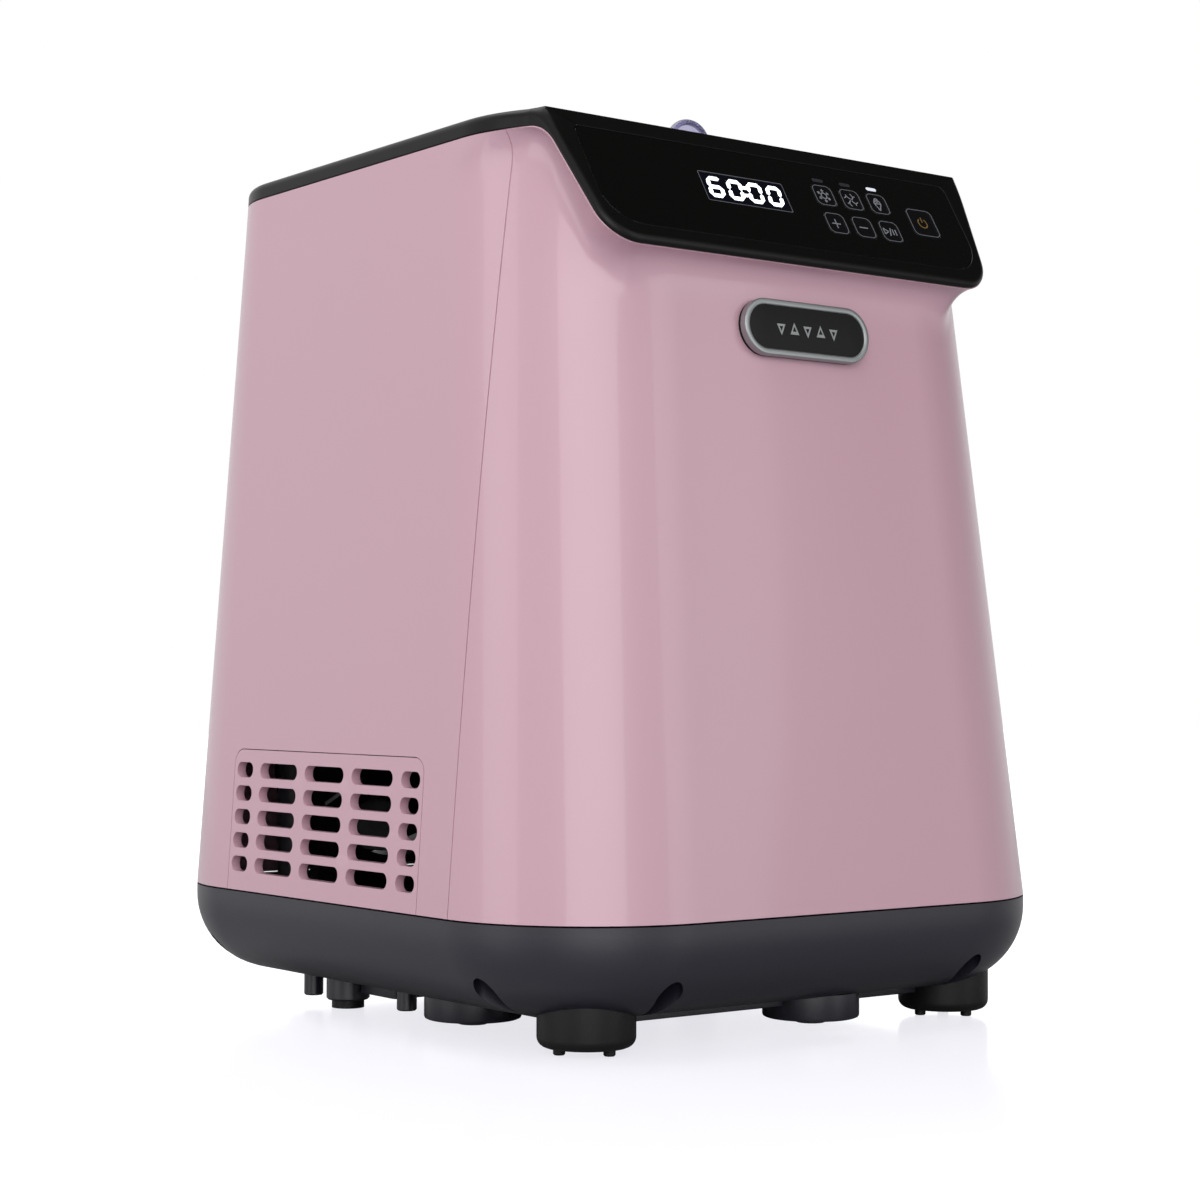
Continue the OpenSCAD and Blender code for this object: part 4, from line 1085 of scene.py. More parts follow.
@dataclass
class ControlPanel:
    """The glossy plate with its display, lamps and keys."""

    form: Form
    width: float = 170.8
    length: float = 39.9
    top_gap: float = 6.5
    low_r: float = 14.0
    top_r: float = 3.0
    surface: float = -0.2
    thick: float = 1.7
    key: float = 9.6
    key_r: float = 2.6
    key_fit: float = 0.22
    pitch: float = 13.05
    first_x: float = 19.8
    row_down: tuple[float, float] = (20.4, 33.0)
    power_at: tuple[float, float] = (65.4, 26.3)
    power_size: tuple[float, float] = (13.2, 12.8)
    window_at: tuple[float, float] = (-18.4, 24.5)
    window: tuple[float, float] = (37.6, 12.5)
    lamp: tuple[float, float] = (5.0, 1.5)
    lamp_down: float = 13.4
    digit_h: float = 9.2
    digit_w: float = 6.9
    stroke: float = 1.6
    slant: float = 0.12
    digit_pitch: float = 8.9
    lit: str = "60:00"
    plate_soft: float = 0.25
    window_r: float = 0.4
    window_fit: float = 0.25
    window_soft: float = 0.12
    frame_line: float = 0.5
    lamp_soft: float = 0.15
    # How far below the plate the printed and lit faces lie, and how thick they are
    ink_step: float = 0.02
    ink_t: float = 0.12
    # Key caps: width and drop of each step of the dish, depth of the skirt, sizes of the flange and stem
    dish: tuple[tuple[float, float], ...] = ((0.35, 0.0), (0.8, -0.1), (1.0, -0.12), (1.2, -0.06))
    skirt: float = 2.2
    flange_grow: float = 1.6
    flange_low: float = -3.4
    stem_r: float = 2.0
    stem_low: float = -5.2
    cap_soft: float = 0.2
    # The outline on a key: how far in its two edges lie, and where its back and face lie
    outline_in: tuple[float, float] = (0.25, 0.55)
    outline_z: tuple[float, float] = (-0.1, 0.03)
    icon_z: float = -0.18
    icon_line: float = 0.42
    power_line: float = 0.45

    def outline(self, grow: float) -> list[tuple[float, float]]:
        """Return the plate's outline, across and up, grown a little."""
        half = self.width / 2 + grow
        top = -self.top_gap + grow
        low = -self.top_gap - self.length - grow
        corners = ((half, top, self.top_r, 0), (-half, top, self.top_r, 90), (-half, low, self.low_r, 180),
                   (half, low, self.low_r, 270))
        points = []
        for x, y, r, start in corners:
            cx = x - math.copysign(r, x)
            cy = y - r if y == top else y + r
            points += [polar((cx, cy), r, math.radians(start + 9 * i)) for i in range(11)]
        return points

    def on_slope(self, x: float, y: float, out: float) -> Vector:
        """Return the point at across, up and out on the slope."""
        return self.form.slope(x, -y, out)

    def keys(self) -> list[tuple[Icon, float, float, float, float]]:
        """Return each key's icon, place across and up, and size."""
        small = [Icon.CRYSTAL, Icon.SWIRL, Icon.CONE, Icon.PLUS, Icon.MINUS, Icon.PLAY]
        rows = [(icon, self.first_x + self.pitch * (i % 3), -self.row_down[i // 3], self.key, self.key)
                for i, icon in enumerate(small)]
        return [*rows, (Icon.POWER, self.power_at[0], -self.power_at[1], *self.power_size)]

    def lamps(self) -> list[list[tuple[float, float]]]:
        """Return the outlines of the three lamps."""
        return [rounded_box(*self.lamp, self.lamp[1] / 2 - END_EASE, 5,
                            (self.first_x + self.pitch * i, -self.lamp_down)) for i in range(3)]

    def build(self) -> None:
        """Build the plate, the window, the digits, the lamps and the keys."""
        holes = [rounded_box(w + 2 * self.key_fit, h + 2 * self.key_fit, self.key_r + self.key_fit, 5, (x, y))
                 for _, x, y, w, h in self.keys()]
        window = (self.window_at[0], -self.window_at[1])
        holes.append(rounded_box(*self.window, self.window_r, 2, window))
        bm = bmesh.new()
        plate(bm, self.outline(0), [*holes, *self.lamps()], self.surface - self.thick, self.surface,
              self.on_slope, soft=self.plate_soft)
        finish_piece(bm, "panel_plate", PLATE_ACRYLIC, "housing", ["control_plate"],
                     FLAT_CREASE)
        bm = bmesh.new()
        fit = self.window_fit
        lens = rounded_box(self.window[0] - fit, self.window[1] - fit, self.window_r - fit / 2.5, 2, window)
        plate(bm, lens, [], self.surface - self.thick, self.surface - self.window_soft, self.on_slope,
              soft=self.window_soft)
        finish_piece(bm, "display_lens", WINDOW_ACRYLIC, "housing", ["display_window"], FLAT_CREASE)
        self.build_frame(window)
        self.build_digits(window)
        for index, outline in enumerate(self.lamps()):
            bm = bmesh.new()
            plate(bm, outline, [], self.surface - self.thick, self.surface - self.ink_step, self.on_slope,
                  soft=self.lamp_soft)
            finish = LAMP_LIGHT if index == 2 else LAMP_DARK
            stands = ["indicator_lamps"] if index == 2 else []
            finish_piece(bm, f"lamp_lens_{index + 1}", finish, "housing", stands)
        for icon, x, y, w, h in self.keys():
            self.build_key(icon, x, y, w, h)

    def build_frame(self, window: tuple[float, float]) -> None:
        """Build the thin printed line round the display."""
        w, h = self.window
        bm = bmesh.new()
        line = self.frame_line
        plate(bm, rounded_box(w + line, h + line, self.window_r + 0.2, 2, window),
              [rounded_box(w, h, self.window_r, 2, window)], self.surface - 0.3, self.surface + 0.03,
              self.on_slope)
        finish_piece(bm, "display_line", OUTLINE_INK, "housing")

    def bar(self, bm: bmesh.types.BMesh, start: tuple[float, float], end: tuple[float, float], width: float,
            out: float, taper: float = 0.0, slant_from: Optional[float] = None) -> None:
        """Add a thin printed bar.

        Args:
            bm: The mesh being made.
            start: First end, across and up.
            end: Other end.
            width: Width of the bar.
            out: Height of its face.
            taper: Length of the point at each end.
            slant_from: Height at which the slant starts, if the bar slants.
        """
        a, b = Vector(start), Vector(end)
        along = (b - a).normalized()
        across = Vector((-along.y, along.x)) * width / 2
        points = [a - across + along * taper, b - across - along * taper]
        if taper:
            points.append(b)
        points += [b + across - along * taper, a + across + along * taper]
        if taper:
            points.append(a)

        def place(x: float, y: float, z: float) -> Vector:
            shift = self.slant * (y - slant_from) if slant_from is not None else 0.0
            return self.on_slope(x + shift, y, z)

        plate(bm, [(p.x, p.y) for p in points], [], out - self.ink_t, out, place)

    def band(self, bm: bmesh.types.BMesh, centre: tuple[float, float], radius: float, width: float,
             first: float, last: float, out: float) -> None:
        """Add a thin printed arc.

        Args:
            bm: The mesh being made.
            centre: Middle of the arc, across and up.
            radius: Radius of its middle line.
            width: Width of the line.
            first: First angle in degrees.
            last: Last angle in degrees.
            out: Height of its face.
        """
        steps = max(4, int(abs(last - first) / 15))
        angles = [math.radians(mix(first, last, i / steps)) for i in range(steps + 1)]
        ring = [polar(centre, radius + width / 2, a) for a in angles]
        ring += [polar(centre, radius - width / 2, a) for a in reversed(angles)]
        plate(bm, ring, [], out - self.ink_t, out, self.on_slope)

    def build_digits(self, window: tuple[float, float]) -> None:
        """Build the lit segments of the display."""
        shapes = {"6": "acdefg", "0": "abcdef"}
        w, h = self.digit_w / 2 - self.stroke / 2, self.digit_h / 2 - self.stroke / 2
        ends = {"a": ((-w, h), (w, h)), "b": ((w, 0), (w, h)), "c": ((w, -h), (w, 0)),
                "d": ((-w, -h), (w, -h)), "e": ((-w, -h), (-w, 0)), "f": ((-w, 0), (-w, h)),
                "g": ((-w, 0), (w, 0))}
        out = self.surface - self.ink_step
        bm = bmesh.new()
        places = [-1.5, -0.5, 0.0, 0.5, 1.5]
        for mark, step in zip(self.lit, places):
            x0 = window[0] + step * self.digit_pitch
            if mark == ":":
                for dy in (-1.7, 1.7):
                    self.bar(bm, (x0 - 0.65, window[1] + dy), (x0 + 0.65, window[1] + dy), 1.3, out,
                             slant_from=window[1])
                continue
            for name in shapes[mark]:
                (ax, ay), (bx, by) = ends[name]
                trim = 0.1
                along = Vector((bx - ax, by - ay)).normalized() * trim
                self.bar(bm, (x0 + ax + along.x, window[1] + ay + along.y),
                         (x0 + bx - along.x, window[1] + by - along.y), self.stroke, out, self.stroke / 2,
                         window[1])
        finish_piece(bm, "display_digits", DIGIT_LIGHT, "housing")

    def build_key(self, icon: Icon, x: float, y: float, w: float, h: float) -> None:
        """Build a dished key cap with its flange, stem, outline and icon.

        Args:
            icon: The key's icon, whose value is its node.
            x: Place across.
            y: Place up the slope.
            w: Width of the cap.
            h: Height of the cap.
        """
        body = icon.value
        bm = bmesh.new()
        part = bmesh.new()
        fill(part, [[Vector((px, py, 0.0)) for px, py in rounded_box(w, h, self.key_r, 6, (x, y))]])
        bmesh.ops.recalc_face_normals(part, faces=part.faces)
        if part.faces[:][0].normal.z < 0:
            bmesh.ops.reverse_faces(part, faces=part.faces)
        faces = part.faces[:]
        for width, depth in self.dish:
            bmesh.ops.inset_region(part, faces=faces, thickness=width, depth=0, use_even_offset=True)
            bmesh.ops.translate(part, vec=(0, 0, depth), verts=list({v for f in faces for v in f.verts}))
        rim = [e for e in part.edges if e.is_boundary]
        made = bmesh.ops.extrude_edge_only(part, edges=rim)["geom"]
        bmesh.ops.translate(part, vec=(0, 0, -self.skirt), verts=new_verts(made))
        for vert in part.verts:
            vert.co = self.on_slope(vert.co.x, vert.co.y, vert.co.z)
        join(bm, part)
        grow = self.flange_grow
        plate(bm, rounded_box(w + grow, h + grow, self.key_r, 6, (x, y)), [], self.flange_low, -self.skirt,
              self.on_slope)
        plate(bm, circle(self.stem_r, 24, (x, y)), [], self.stem_low, self.flange_low, self.on_slope)
        cap = finish_piece(bm, f"cap_{body}", KEY_ABS, body, [body])
        soften(cap, self.cap_soft, 50.0)
        bm = bmesh.new()
        outer, inner = [rounded_box(w - 2 * inset, h - 2 * inset, self.key_r - inset, 6, (x, y))
                        for inset in self.outline_in]
        plate(bm, outer, [inner], *self.outline_z, self.on_slope)
        finish_piece(bm, f"outline_{body}", OUTLINE_INK, body)
        bm = bmesh.new()
        self.draw_icon(bm, icon, x, y)
        # The power key's amber print carries a faint painted glow; the other icons are plain grey print
        ink = AMBER_INK_PAINTED_GLOW if icon is Icon.POWER else KEY_INK
        finish_piece(bm, f"icon_{body}", ink, body)

    def draw_icon(self, bm: bmesh.types.BMesh, icon: Icon, x: float, y: float) -> None:
        """Draw a key's icon with thin bars and arcs.

        Args:
            bm: The mesh being made.
            icon: Which icon.
            x: Middle of the key, across.
            y: Middle of the key, up.
        """
        out = self.icon_z
        line = self.icon_line

        def spoke(angle: float, near: float, far: float, turn: float = 0.0) -> None:
            a, b = math.radians(angle), math.radians(angle + turn)
            self.bar(bm, (x + near * math.cos(a), y + near * math.sin(a)),
                     (x + far * math.cos(b), y + far * math.sin(b)), line, out)

        if icon is Icon.CRYSTAL:
            self.band(bm, (x, y), 1.25, line, 0, 359, out)
            for angle in range(0, 360, 60):
                spoke(angle + 30, 1.2, 3.0)
                spoke(angle + 18, 2.6, 1.9, 12)
                spoke(angle + 42, 2.6, 1.9, -12)
        elif icon is Icon.SWIRL:
            for angle in range(0, 360, 90):
                spoke(angle + 20, 0.4, 2.2, 25)
                spoke(angle + 45, 2.2, 3.0, 32)
                spoke(angle + 45, 2.2, 2.9, -8)
        elif icon is Icon.CONE:
            self.bar(bm, (x - 1.5, y + 0.2), (x, y - 2.9), line, out)
            self.bar(bm, (x + 1.5, y + 0.2), (x, y - 2.9), line, out)
            self.bar(bm, (x - 1.8, y + 0.3), (x + 1.8, y + 0.3), line, out)
            self.band(bm, (x, y + 0.5), 1.5, line, 0, 180, out)
            self.band(bm, (x, y + 1.9), 0.8, line, 0, 359, out)
        elif icon is Icon.PLUS:
            self.bar(bm, (x - 2.0, y), (x + 2.0, y), line, out)
            self.bar(bm, (x, y - 2.0), (x, y + 2.0), line, out)
        elif icon is Icon.MINUS:
            self.bar(bm, (x - 2.0, y), (x + 2.0, y), line, out)
        elif icon is Icon.PLAY:
            for p, q in (((-3.0, -1.3), (-3.0, 1.3)), ((-3.0, 1.3), (-0.9, 0)), ((-0.9, 0), (-3.0, -1.3)),
                         ((-0.5, -1.8), (0.6, 1.8)), ((1.4, -1.3), (1.4, 1.3)), ((2.7, -1.3), (2.7, 1.3))):
                self.bar(bm, (x + p[0], y + p[1]), (x + q[0], y + q[1]), line, out)
        else:
            self.band(bm, (x, y), 2.1, self.power_line, 125, 415, out)
            self.bar(bm, (x, y + 0.4), (x, y + 2.7), self.power_line, out)


@dataclass
class Badge:
    """The oval badge on the front, with a plain row of cones in place of a name."""

    form: Form
    z: float = 241.0
    width: float = 57.0
    height: float = 19.6
    thick: float = 3.0
    body_in: float = 0.15
    body_low: float = -1.0
    body_soft: float = 0.6
    ring: float = 2.2
    ring_low: float = 1.0
    ring_up: float = 0.6
    ring_soft: float = 0.5
    motif_pitch: float = 6.0
    motif_open: float = 0.45
    motif_root: float = 0.2
    motif_up: float = 0.12
    upright: tuple[tuple[float, float], ...] = ((-2.0, -1.9), (2.0, -1.9), (0.0, 2.3))
    inverted: tuple[tuple[float, float], ...] = ((-1.9, 1.4), (0.0, -2.6), (1.9, 1.4))

    def oval(self, inset: float) -> list[tuple[float, float]]:
        """Return the badge's outline, that far inside its full size."""
        return rounded_box(self.width - 2 * inset, self.height - 2 * inset,
                           self.height / 2 - inset - END_EASE, 12)

    def place(self, x: float, y: float, out: float) -> Vector:
        """Return a point on the badge: across, up and out of the front wall."""
        form = self.form
        lean = form.lean_front / (form.band_z - form.seam_z)
        tilt = math.atan(lean)
        foot = form.plan(0.0, self.z)
        along = y * math.sin(tilt) - out * math.cos(tilt)
        return foot + at(x, along, y * math.cos(tilt) + out * math.sin(tilt))

    def build(self) -> None:
        """Build the body, the ring and the raised motif."""
        bm = bmesh.new()
        plate(bm, self.oval(self.body_in), [], self.body_low, self.thick, self.place, soft=self.body_soft)
        finish_piece(bm, "badge_body", BADGE_BLACK, "housing", ["badge_base"])
        bm = bmesh.new()
        plate(bm, self.oval(0.0), [self.oval(self.ring)], self.ring_low, self.thick + self.ring_up,
              self.place, soft=self.ring_soft)
        finish_piece(bm, "badge_rim", SILVER_TRIM, "housing", ["badge_ring"])
        bm = bmesh.new()
        for index in range(-2, 3):
            shape = self.upright if index % 2 else self.inverted
            x = index * self.motif_pitch
            outer = [(x + px, py) for px, py in shape]
            inner = [(x + px * self.motif_open, py * self.motif_open) for px, py in shape]
            plate(bm, outer, [inner], self.thick - self.motif_root, self.thick + self.motif_up, self.place)
        finish_piece(bm, "badge_motif", SILVER_TRIM, "housing")


# ---------------------------------------------------------------- base


@dataclass
class Base:
    """The black base tray with its screw pockets, feet and underside bosses."""

    form: Form
    thick: float = 3.0
    edge_r: float = 28.0
    low_z: float = 12.0
    top_gap: float = 0.6
    rows: int = 16
    pocket_r: float = 4.5
    pocket_top: float = 36.0
    pockets: tuple[tuple[float, float], ...] = ((112.2, -87.0), (68.0, -125.6), (110.3, 92.0), (66.0, 125.8))
    cups: tuple[tuple[float, float], ...] = ((-80.0, -32.0), (18.0, -98.0), (14.0, 8.0))
    pins: tuple[tuple[float, float], ...] = ((-88.0, 62.0), (-84.0, 4.0))
    block: tuple[float, float, float, float] = (14.0, 24.0, -77.0, 24.0)
    foot_r: float = 16.3
    foot_top: float = 16.8
    tip_in: float = 17.0
    sleeve: float = 1.2
    sleeve_fit: float = 0.02
    sleeve_sunk: float = 0.8
    edge_soft: float = 0.5
    # How far inside the outline the flat underside's skin ends, and the shares of the skin's three stretches
    flat_in: float = 55.0
    flat_share: float = 0.12
    round_share: float = 0.8
    skin_rows: int = 25
    platform: tuple[float, float, float] = (168.0, 204.0, 20.0)
    platform_drop: float = 3.0
    block_drop: float = 6.0
    rear_boss_at: tuple[float, float] = (84.0, 44.0)
    # Radius and height of each point of the turned bosses, from the axis and back to it
    cup_profile: tuple[tuple[float, float], ...] = (
        (0, 13), (17, 13), (17, 5), (16.7, 4.3), (16, 4), (14.5, 4), (14.5, 6.5), (3.2, 6.5), (3.2, 8.5),
        (0, 8.5))
    boss_profile: tuple[tuple[float, float], ...] = ((0, 13), (8, 13), (8, 3.6), (7.4, 3), (0, 3))
    pin_profile: tuple[tuple[float, float], ...] = ((0, 13), (3.6, 13), (3.6, 3.5), (3.1, 3), (0, 3))
    nub_profile: tuple[tuple[float, float], ...] = ((0, 0), (1.6, 0), (2.0, 0.4), (2.0, 3.2), (0, 3.2))
    nub_at: float = 9.5
    nub_angles: tuple[float, ...] = (45.0, 165.0, 285.0)
    foot_z: float = 2.2
    foot_round: float = 3.5
    foot_flat: float = 6.0

    def skin(self, place: float, up: float) -> Vector:
        """Return a point on the tray: flat underside, round lower edge and upright side."""
        half = abs(place)
        top = self.form.seam_z - self.top_gap
        if up < self.flat_share:
            inset = mix(self.flat_in, self.edge_r, up / self.flat_share)
            point = self.form.plan(half, self.form.seam_z, inset)
            point.z = self.low_z
        elif up < self.round_share:
            angle = (up - self.flat_share) / (self.round_share - self.flat_share) * math.pi / 2
            inset = self.edge_r * (1 - math.sin(angle))
            point = self.form.plan(half, self.form.seam_z, inset)
            point.z = self.low_z + self.edge_r * (1 - math.cos(angle))
        else:
            point = self.form.plan(half, self.form.seam_z)
            point.z = mix(self.low_z + self.edge_r, top, (up - self.round_share) / (1 - self.round_share))
        return at(point.x if place >= 0 else -point.x, point.y, point.z)

    def build(self) -> None:
        """Build the tray, its pockets and bosses, and the feet."""
        form = self.form
        bm = bmesh.new()
        sheet(bm, 2 * form.steps, self.skin_rows, lambda u, v: self.skin(2 * u - 1, v))
        bmesh.ops.remove_doubles(bm, verts=bm.verts, dist=WELD_SKIN)
        inner = form.both([self.skin(p, 0.0) for p in form.places(0.0, 1.0)])
        fill(bm, [inner])
        bmesh.ops.remove_doubles(bm, verts=bm.verts, dist=WELD_SKIN)
        face_out(bm)
        tray = finish_piece(bm, "tray", TRAY_ABS, "housing", ["base_tray"])
        wall(tray, self.thick)
        tool = bmesh.new()
        for side in (-1, 1):
            for x, y in self.pockets:
                plate(tool, self.teardrop(side * x, y, 0.0), [], 0, self.pocket_top - 1, at)
        cut(tray, tool)
        soften(tray, self.edge_soft, 45.0)
        self.build_pockets()
        self.build_underside()
        for side, name in ((-1, "front_foot_left"), (1, "front_foot_right")):
            self.build_foot(side, name)

    def teardrop(self, x: float, y: float, grow: float) -> list[tuple[float, float]]:
        """Return a screw pocket's outline: round outside, with a tip that points inwards.

        Args:
            x: Place of its screw across.
            y: Place of its screw along.
            grow: How much bigger the outline is.

        Returns:
            The outline's points.
        """
        inward = math.atan2(-y, 0) if abs(y) > 100 else math.atan2(0, -x)
        r = self.pocket_r + grow
        reach = self.tip_in + grow
        half = math.acos(r / reach)
        first = inward + half
        arc = [first + (math.tau - 2 * half) * i / 24 for i in range(25)]
        return [*[polar((x, y), r, a) for a in arc], polar((x, y), reach, inward)]

    def build_pockets(self) -> None:
        """Build the sleeves in the screw pockets, closed at the top and cut to the tray's round edge."""
        bm = bmesh.new()
        for side in (-1, 1):
            for x, y in self.pockets:
                part = bmesh.new()
                outer = self.teardrop(side * x, y, self.sleeve)
                plate(part, outer, [self.teardrop(side * x, y, self.sleeve_fit)], 0, self.pocket_top, at)
                plate(part, outer, [], self.pocket_top - self.sleeve, self.pocket_top, at)
                for vert in part.verts:
                    skin_z = self.tray_height(vert.co.x, vert.co.y)
                    vert.co.z = max(vert.co.z, skin_z + self.sleeve_sunk)
                join(bm, part)
        finish_piece(bm, "tray_pocket_sleeves", TRAY_ABS, "housing")

    def tray_height(self, x: float, y: float) -> float:
        """Return the height of the tray's outer skin above a point."""
        reach = min(self.depth_inside(x, y), self.edge_r)
        return self.low_z + self.edge_r - math.sqrt(max(0.0, self.edge_r ** 2 - (self.edge_r - reach) ** 2))

    def depth_inside(self, x: float, y: float) -> float:
        """Return how far inside the tray's outline a point is."""
        form = self.form
        cx = form.base_w / 2 - form.corner_base
        cy = form.base_d / 2 - form.corner_base
        dx, dy = max(abs(x) - cx, 0.0), max(abs(y) - cy, 0.0)
        return form.corner_base - math.hypot(dx, dy)

    def build_underside(self) -> None:
        """Build the lower platform, the cups, the bosses and the pins."""
        bm = bmesh.new()
        root = self.low_z + 1
        plate(bm, rounded_box(*self.platform, 8), [], root, self.low_z - self.platform_drop, at, soft=1.0)
        width, length, x, y = self.block
        plate(bm, rounded_box(width, length, 1.5, 4, (x, y)), [], root, self.low_z - self.block_drop, at,
              soft=0.6)
        for centre in self.cups:
            turned(bm, self.cup_profile, centre)
        for side in (1, -1):
            turned(bm, self.boss_profile, (side * self.rear_boss_at[0], self.rear_boss_at[1]), 32)
        for centre in self.pins:
            turned(bm, self.pin_profile, centre, 24)
        finish_piece(bm, "tray_underside", TRAY_ABS, "housing")

    def build_foot(self, side: int, name: str) -> None:
        """Build a front foot with its three rubber nubs.

        Args:
            side: Minus one for the left foot, one for the right.
            name: The node that it takes the place of.
        """
        low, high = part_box(name)
        centre = ((low.x + high.x) / (2 * MM), (low.y + high.y) / (2 * MM))
        r, z, bend = self.foot_r, self.foot_z, self.foot_round
        arc = [polar((r - bend, z + bend), bend, math.radians(a - 90)) for a in range(0, 91, 15)]
        bm = bmesh.new()
        profile = [(0, z), (r - self.foot_flat, z), *arc, (r, self.foot_top), (0, self.foot_top)]
        turned(bm, profile, centre, 64)
        for angle in self.nub_angles:
            turned(bm, self.nub_profile, polar(centre, self.nub_at, math.radians(angle)), 20)
        finish_piece(bm, f"foot_{'left' if side < 0 else 'right'}", RUBBER, "housing", [name])


# ---------------------------------------------------------------- lid


@dataclass
class LidCap:
    """The clear ingredient cap with its round finger tab."""

    web: float = 2.2
    rim: float = 3.6
    tab_r: float = 10.0
    rim_w: float = 2.2
    rim_flat: float = 0.62
    root: float = 1.5
    plug_drop: float = 7.0
    # Radius and height above the disc's foot of the plug's points
    plug_profile: tuple[tuple[float, float], ...] = ((0, 1), (9.4, 1), (9.4, -7), (11.2, -7), (11.2, 0))

    def build(self) -> None:
        """Build the cap's disc, plug and tab."""
        low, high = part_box("ingredient_cap")
        x, y = (low.x + high.x) / (2 * MM), (low.y + high.y) / (2 * MM)
        top = high.z / MM
        r = (high.x - low.x) / (2 * MM)
        disc_low = low.z / MM + self.plug_drop
        centre = top - self.tab_r
        bm = bmesh.new()
        profile = [*self.plug_profile, (r - 0.4, 0), (r, 0.5), (r, 2.2), (r - 0.8, 3), (0, 3)]
        turned(bm, [(reach, disc_low + z) for reach, z in profile], (x, y), 64)
        part = bmesh.new()
        section = circle(self.rim / 2, 16)
        middle = self.tab_r - self.rim_w / 2
        verts = [part.verts.new((middle + px * self.rim_flat, py, 0)) for px, py in section]
        edges = [part.edges.new(pair) for pair in zip(verts, verts[1:] + verts[:1])]
        bmesh.ops.spin(part, geom=verts + edges, cent=(0, 0, 0), axis=(0, 1, 0), dvec=(0, 0, 0),
                       angle=math.tau, steps=64, use_merge=True, use_duplicate=False)
        bmesh.ops.remove_doubles(part, verts=part.verts, dist=WELD_FINE)
        bmesh.ops.translate(part, vec=(x, y, centre), verts=part.verts)
        bmesh.ops.bisect_plane(part, geom=[*part.verts, *part.edges, *part.faces],
                               plane_co=(0, 0, disc_low + self.root), plane_no=(0, 0, -1),
                               clear_outer=True)
        join(bm, part)
        web = [(px, py) for px, py in circle(middle, 64) if centre + py > disc_low + self.root]

        def place(across: float, up: float, out: float) -> Vector:
            return at(x + across, y + out, centre + up)

        plate(bm, web, [], -self.web / 2, self.web / 2, place)
        finish_piece(bm, "cap_with_tab", CLEAR_TAB, "cap", ["ingredient_cap"])


# ---------------------------------------------------------------- inner parts


@dataclass
class InnerParts:
    """The frame's own nodes that stay as they are, each with its real finish."""

    finishes: dict[str, Finish] = field(default_factory=lambda: {
        "inner_deck": DECK_STEEL, "deck_pillars": SWITCH_NYLON, "display_module": SWITCH_NYLON,
        "control_board": BOARD, "key_switches": SWITCH_NYLON, "evaporator_bucket": PULLED_ALUMINIUM,
        "evaporator_coil": COPPER, "foam_jacket": FOAM, "bucket_gasket": RUBBER,
        "gearbox_housing": GEARBOX_NYLON, "gearbox_cover": GEARBOX_NYLON, "gear_motor": MOTOR_STEEL,
        "shaft_bush": BRONZE, "shaft_seal": RUBBER, "compressor": COMPRESSOR_PAINT,
        "compressor_grommets": RUBBER, "compressor_screws": SCREW_STEEL, "condenser_fins": FIN_ALUMINIUM,
        "condenser_tubes": COPPER, "fan_frame": FAN_PLASTIC, "fan_guard": SATIN_ABS, "filter_drier": COPPER,
        "suction_line": COPPER, "discharge_line": COPPER, "liquid_line": COPPER, "capillary_tube": COPPER,
        "power_board": BOARD, "board_parts": YELLOW_PART, "power_inlet": FAN_PLASTIC,
        "rear_foot_left": RUBBER, "rear_foot_right": RUBBER, "tray_screws": SCREW_STEEL, "lid": CLEAR_LID,
        "lid_seal": SILICONE, "bowl": BRUSHED_STEEL, "paddle": PADDLE_PLASTIC, "drive_shaft": TURNED_STEEL,
        "drive_gear": ACETAL, "motor_pinion": BRASS, "fan_rotor": FAN_PLASTIC})

    def dress(self, nodes: dict[str, bpy.types.Object]) -> None:
        """Give each node its finish.

        Args:
            nodes: The frame's nodes by name.
        """
        for name, finish in self.finishes.items():
            mesh = nodes[name].data
            mesh.materials.clear()
            mesh.materials.append(finish.material())
            log.info("%s dressed as %s", name, finish.name)


# ---------------------------------------------------------------- studio


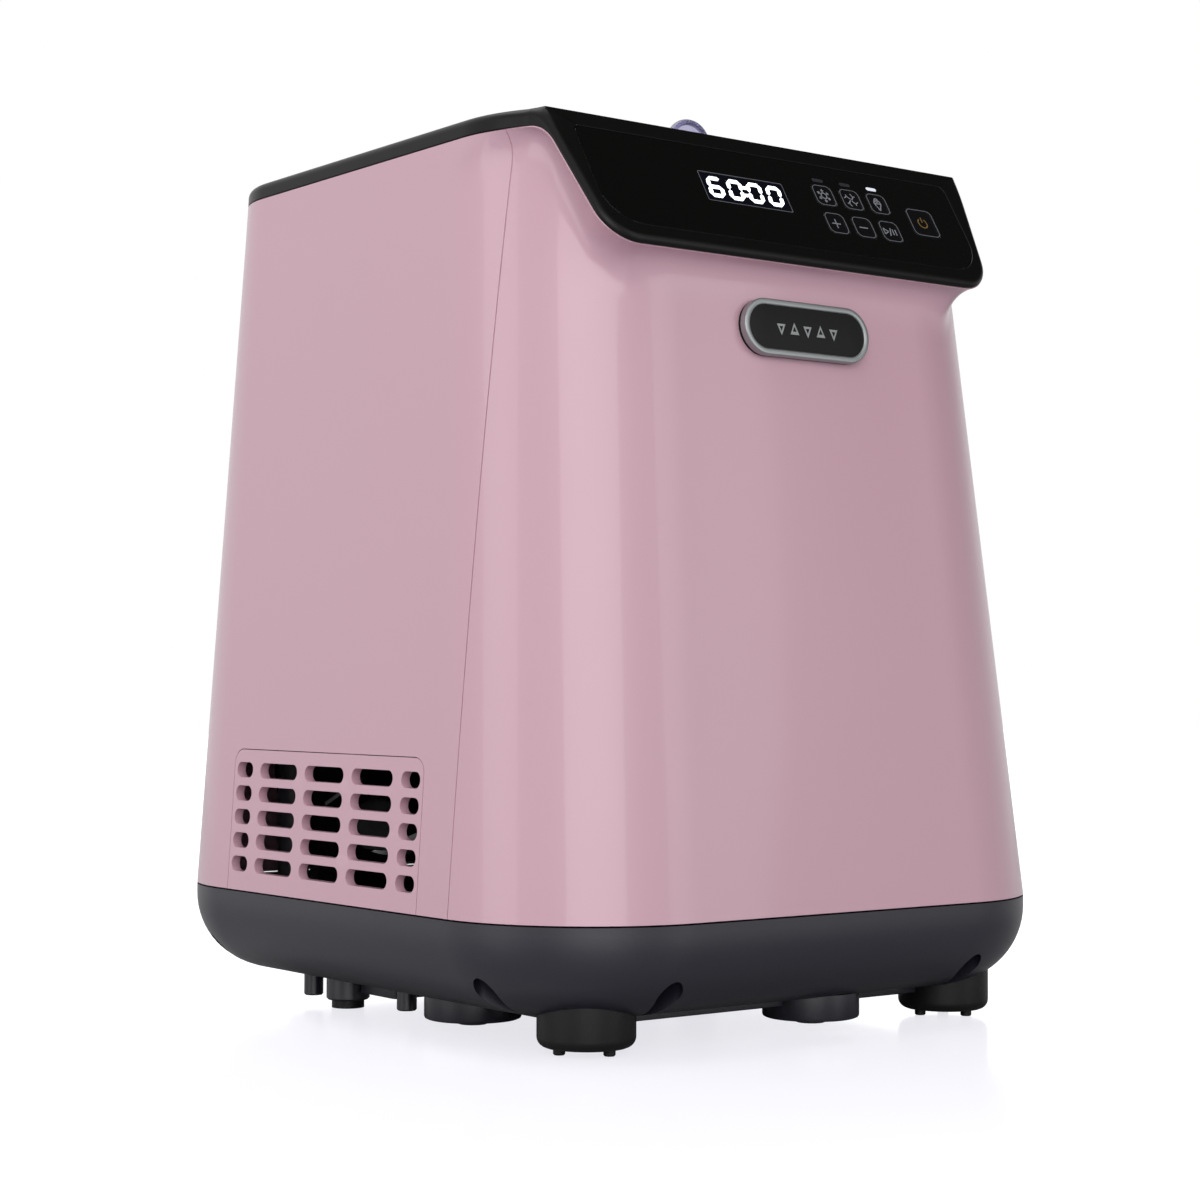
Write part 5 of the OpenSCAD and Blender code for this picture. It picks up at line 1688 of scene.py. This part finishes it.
@dataclass
class Studio:
    """White table, soft lights and the camera."""

    eye: tuple[float, float, float] = (-0.5700, -0.7467, 0.1220)
    heading: float = 37.33
    pitch: float = 1.81
    roll: float = 0.16
    lens: float = 74.34
    table: float = 8.0
    walls: float = 0.8
    # Where the dark corner lies, where it starts and is full (as a cosine), and how bright it is
    dark_way: tuple[float, float, float] = (0.6, -0.25, 0.75)
    dark_from: float = 0.55
    dark_full: float = 0.9
    dark: float = 0.02
    sensor: float = 36.0
    nearest: float = 0.02

    def build(self) -> None:
        """Set up the table, the lights and the camera."""
        scene = bpy.context.scene
        scene.view_settings.view_transform = "Standard"
        bm = bmesh.new()
        bmesh.ops.create_grid(bm, x_segments=1, y_segments=1, size=self.table / 2)
        mesh = bpy.data.meshes.new("table")
        bm.to_mesh(mesh)
        bm.free()
        table = bpy.data.objects.new("table", mesh)
        scene.collection.objects.link(table)
        mesh.materials.append(FLOOR_PAINT.material())
        self.sky(scene)
        self.softbox("key_softbox", (-0.95, -1.55, 0.75), (0, 0, 0.15), (1.3, 1.3), 10)
        self.softbox("side_softbox", (0.72, -1.45, 0.7), (0, 0, 0.15), (0.7, 1.3), 3)
        self.softbox("left_softbox", (-1.7, 0.1, 0.55), (0, 0, 0.1), (0.8, 0.9), 2.5)
        self.softbox("top_softbox", (-0.2, 0.2, 1.9), (0, 0, 0.3), (1.4, 1.4), 14)
        self.camera(scene)

    def sky(self, scene: bpy.types.Scene) -> None:
        """Give the studio a white backdrop, dimmer walls and a dark corner that the glossy panel mirrors."""
        world = bpy.data.worlds.new("white_studio")
        world.use_nodes = True
        tree = world.node_tree
        tree.nodes.clear()
        ways = add_node(tree, "ShaderNodeTexCoord").outputs["Generated"]
        towards = add_node(tree, "ShaderNodeVectorMath", {"operation": "DOT_PRODUCT"}, {
            0: ways, 1: Vector(self.dark_way).normalized()})
        walls = add_node(tree, "ShaderNodeMapRange", {"interpolation_type": "SMOOTHSTEP"}, {
            "Value": towards.outputs["Value"], "From Min": self.dark_from, "From Max": self.dark_full,
            "To Min": self.walls, "To Max": self.dark})
        pure = (1, 1, 1, 1)
        dim, white = [add_node(tree, "ShaderNodeBackground", inputs={"Color": pure, "Strength": light})
                      for light in (walls.outputs[0], 1.0)]
        seen = add_node(tree, "ShaderNodeLightPath").outputs["Is Camera Ray"]
        both = add_node(tree, "ShaderNodeMixShader", inputs={0: seen, 1: dim.outputs[0], 2: white.outputs[0]})
        add_node(tree, "ShaderNodeOutputWorld", inputs={"Surface": both.outputs[0]})
        scene.world = world

    def softbox(self, name: str, place: tuple[float, float, float], aim: tuple[float, float, float],
                size: tuple[float, float], power: float) -> None:
        """Add a soft rectangular light.

        Args:
            name: Name of the light.
            place: Where it stands, in metres.
            aim: Where it points.
            size: Its width and height.
            power: Its power in watts.
        """
        lamp = bpy.data.lights.new(name, "AREA")
        lamp.shape = "RECTANGLE"
        lamp.size, lamp.size_y = size
        lamp.energy = power
        holder = bpy.data.objects.new(name, lamp)
        holder.location = place
        holder.rotation_euler = (Vector(aim) - Vector(place)).to_track_quat("-Z", "Y").to_euler()
        bpy.context.scene.collection.objects.link(holder)

    def camera(self, scene: bpy.types.Scene) -> None:
        """Add the camera at its place, aim and lens."""
        data = bpy.data.cameras.new("camera")
        data.lens = self.lens
        data.sensor_width = self.sensor
        data.clip_start = self.nearest
        camera = bpy.data.objects.new("camera", data)
        turn = (Matrix.Rotation(math.radians(-self.heading), 4, "Z")
                @ Matrix.Rotation(math.radians(90 + self.pitch), 4, "X")
                @ Matrix.Rotation(math.radians(self.roll), 4, "Z"))
        camera.matrix_world = Matrix.Translation(self.eye) @ turn
        scene.collection.objects.link(camera)
        scene.camera = camera


def main() -> None:
    """Build the whole machine round its frame."""
    logging.basicConfig(level=logging.INFO, format="%(name)s: %(message)s")
    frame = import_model()
    form = Form.from_frame()
    panel = ControlPanel(form)
    Studio().build()
    InnerParts().dress(frame["nodes"])
    Casing(form).build()
    TopBezel(form).build(panel)
    panel.build()
    Badge(form).build()
    Base(form).build()
    LidCap().build()


if __name__ == "__main__":
    main()
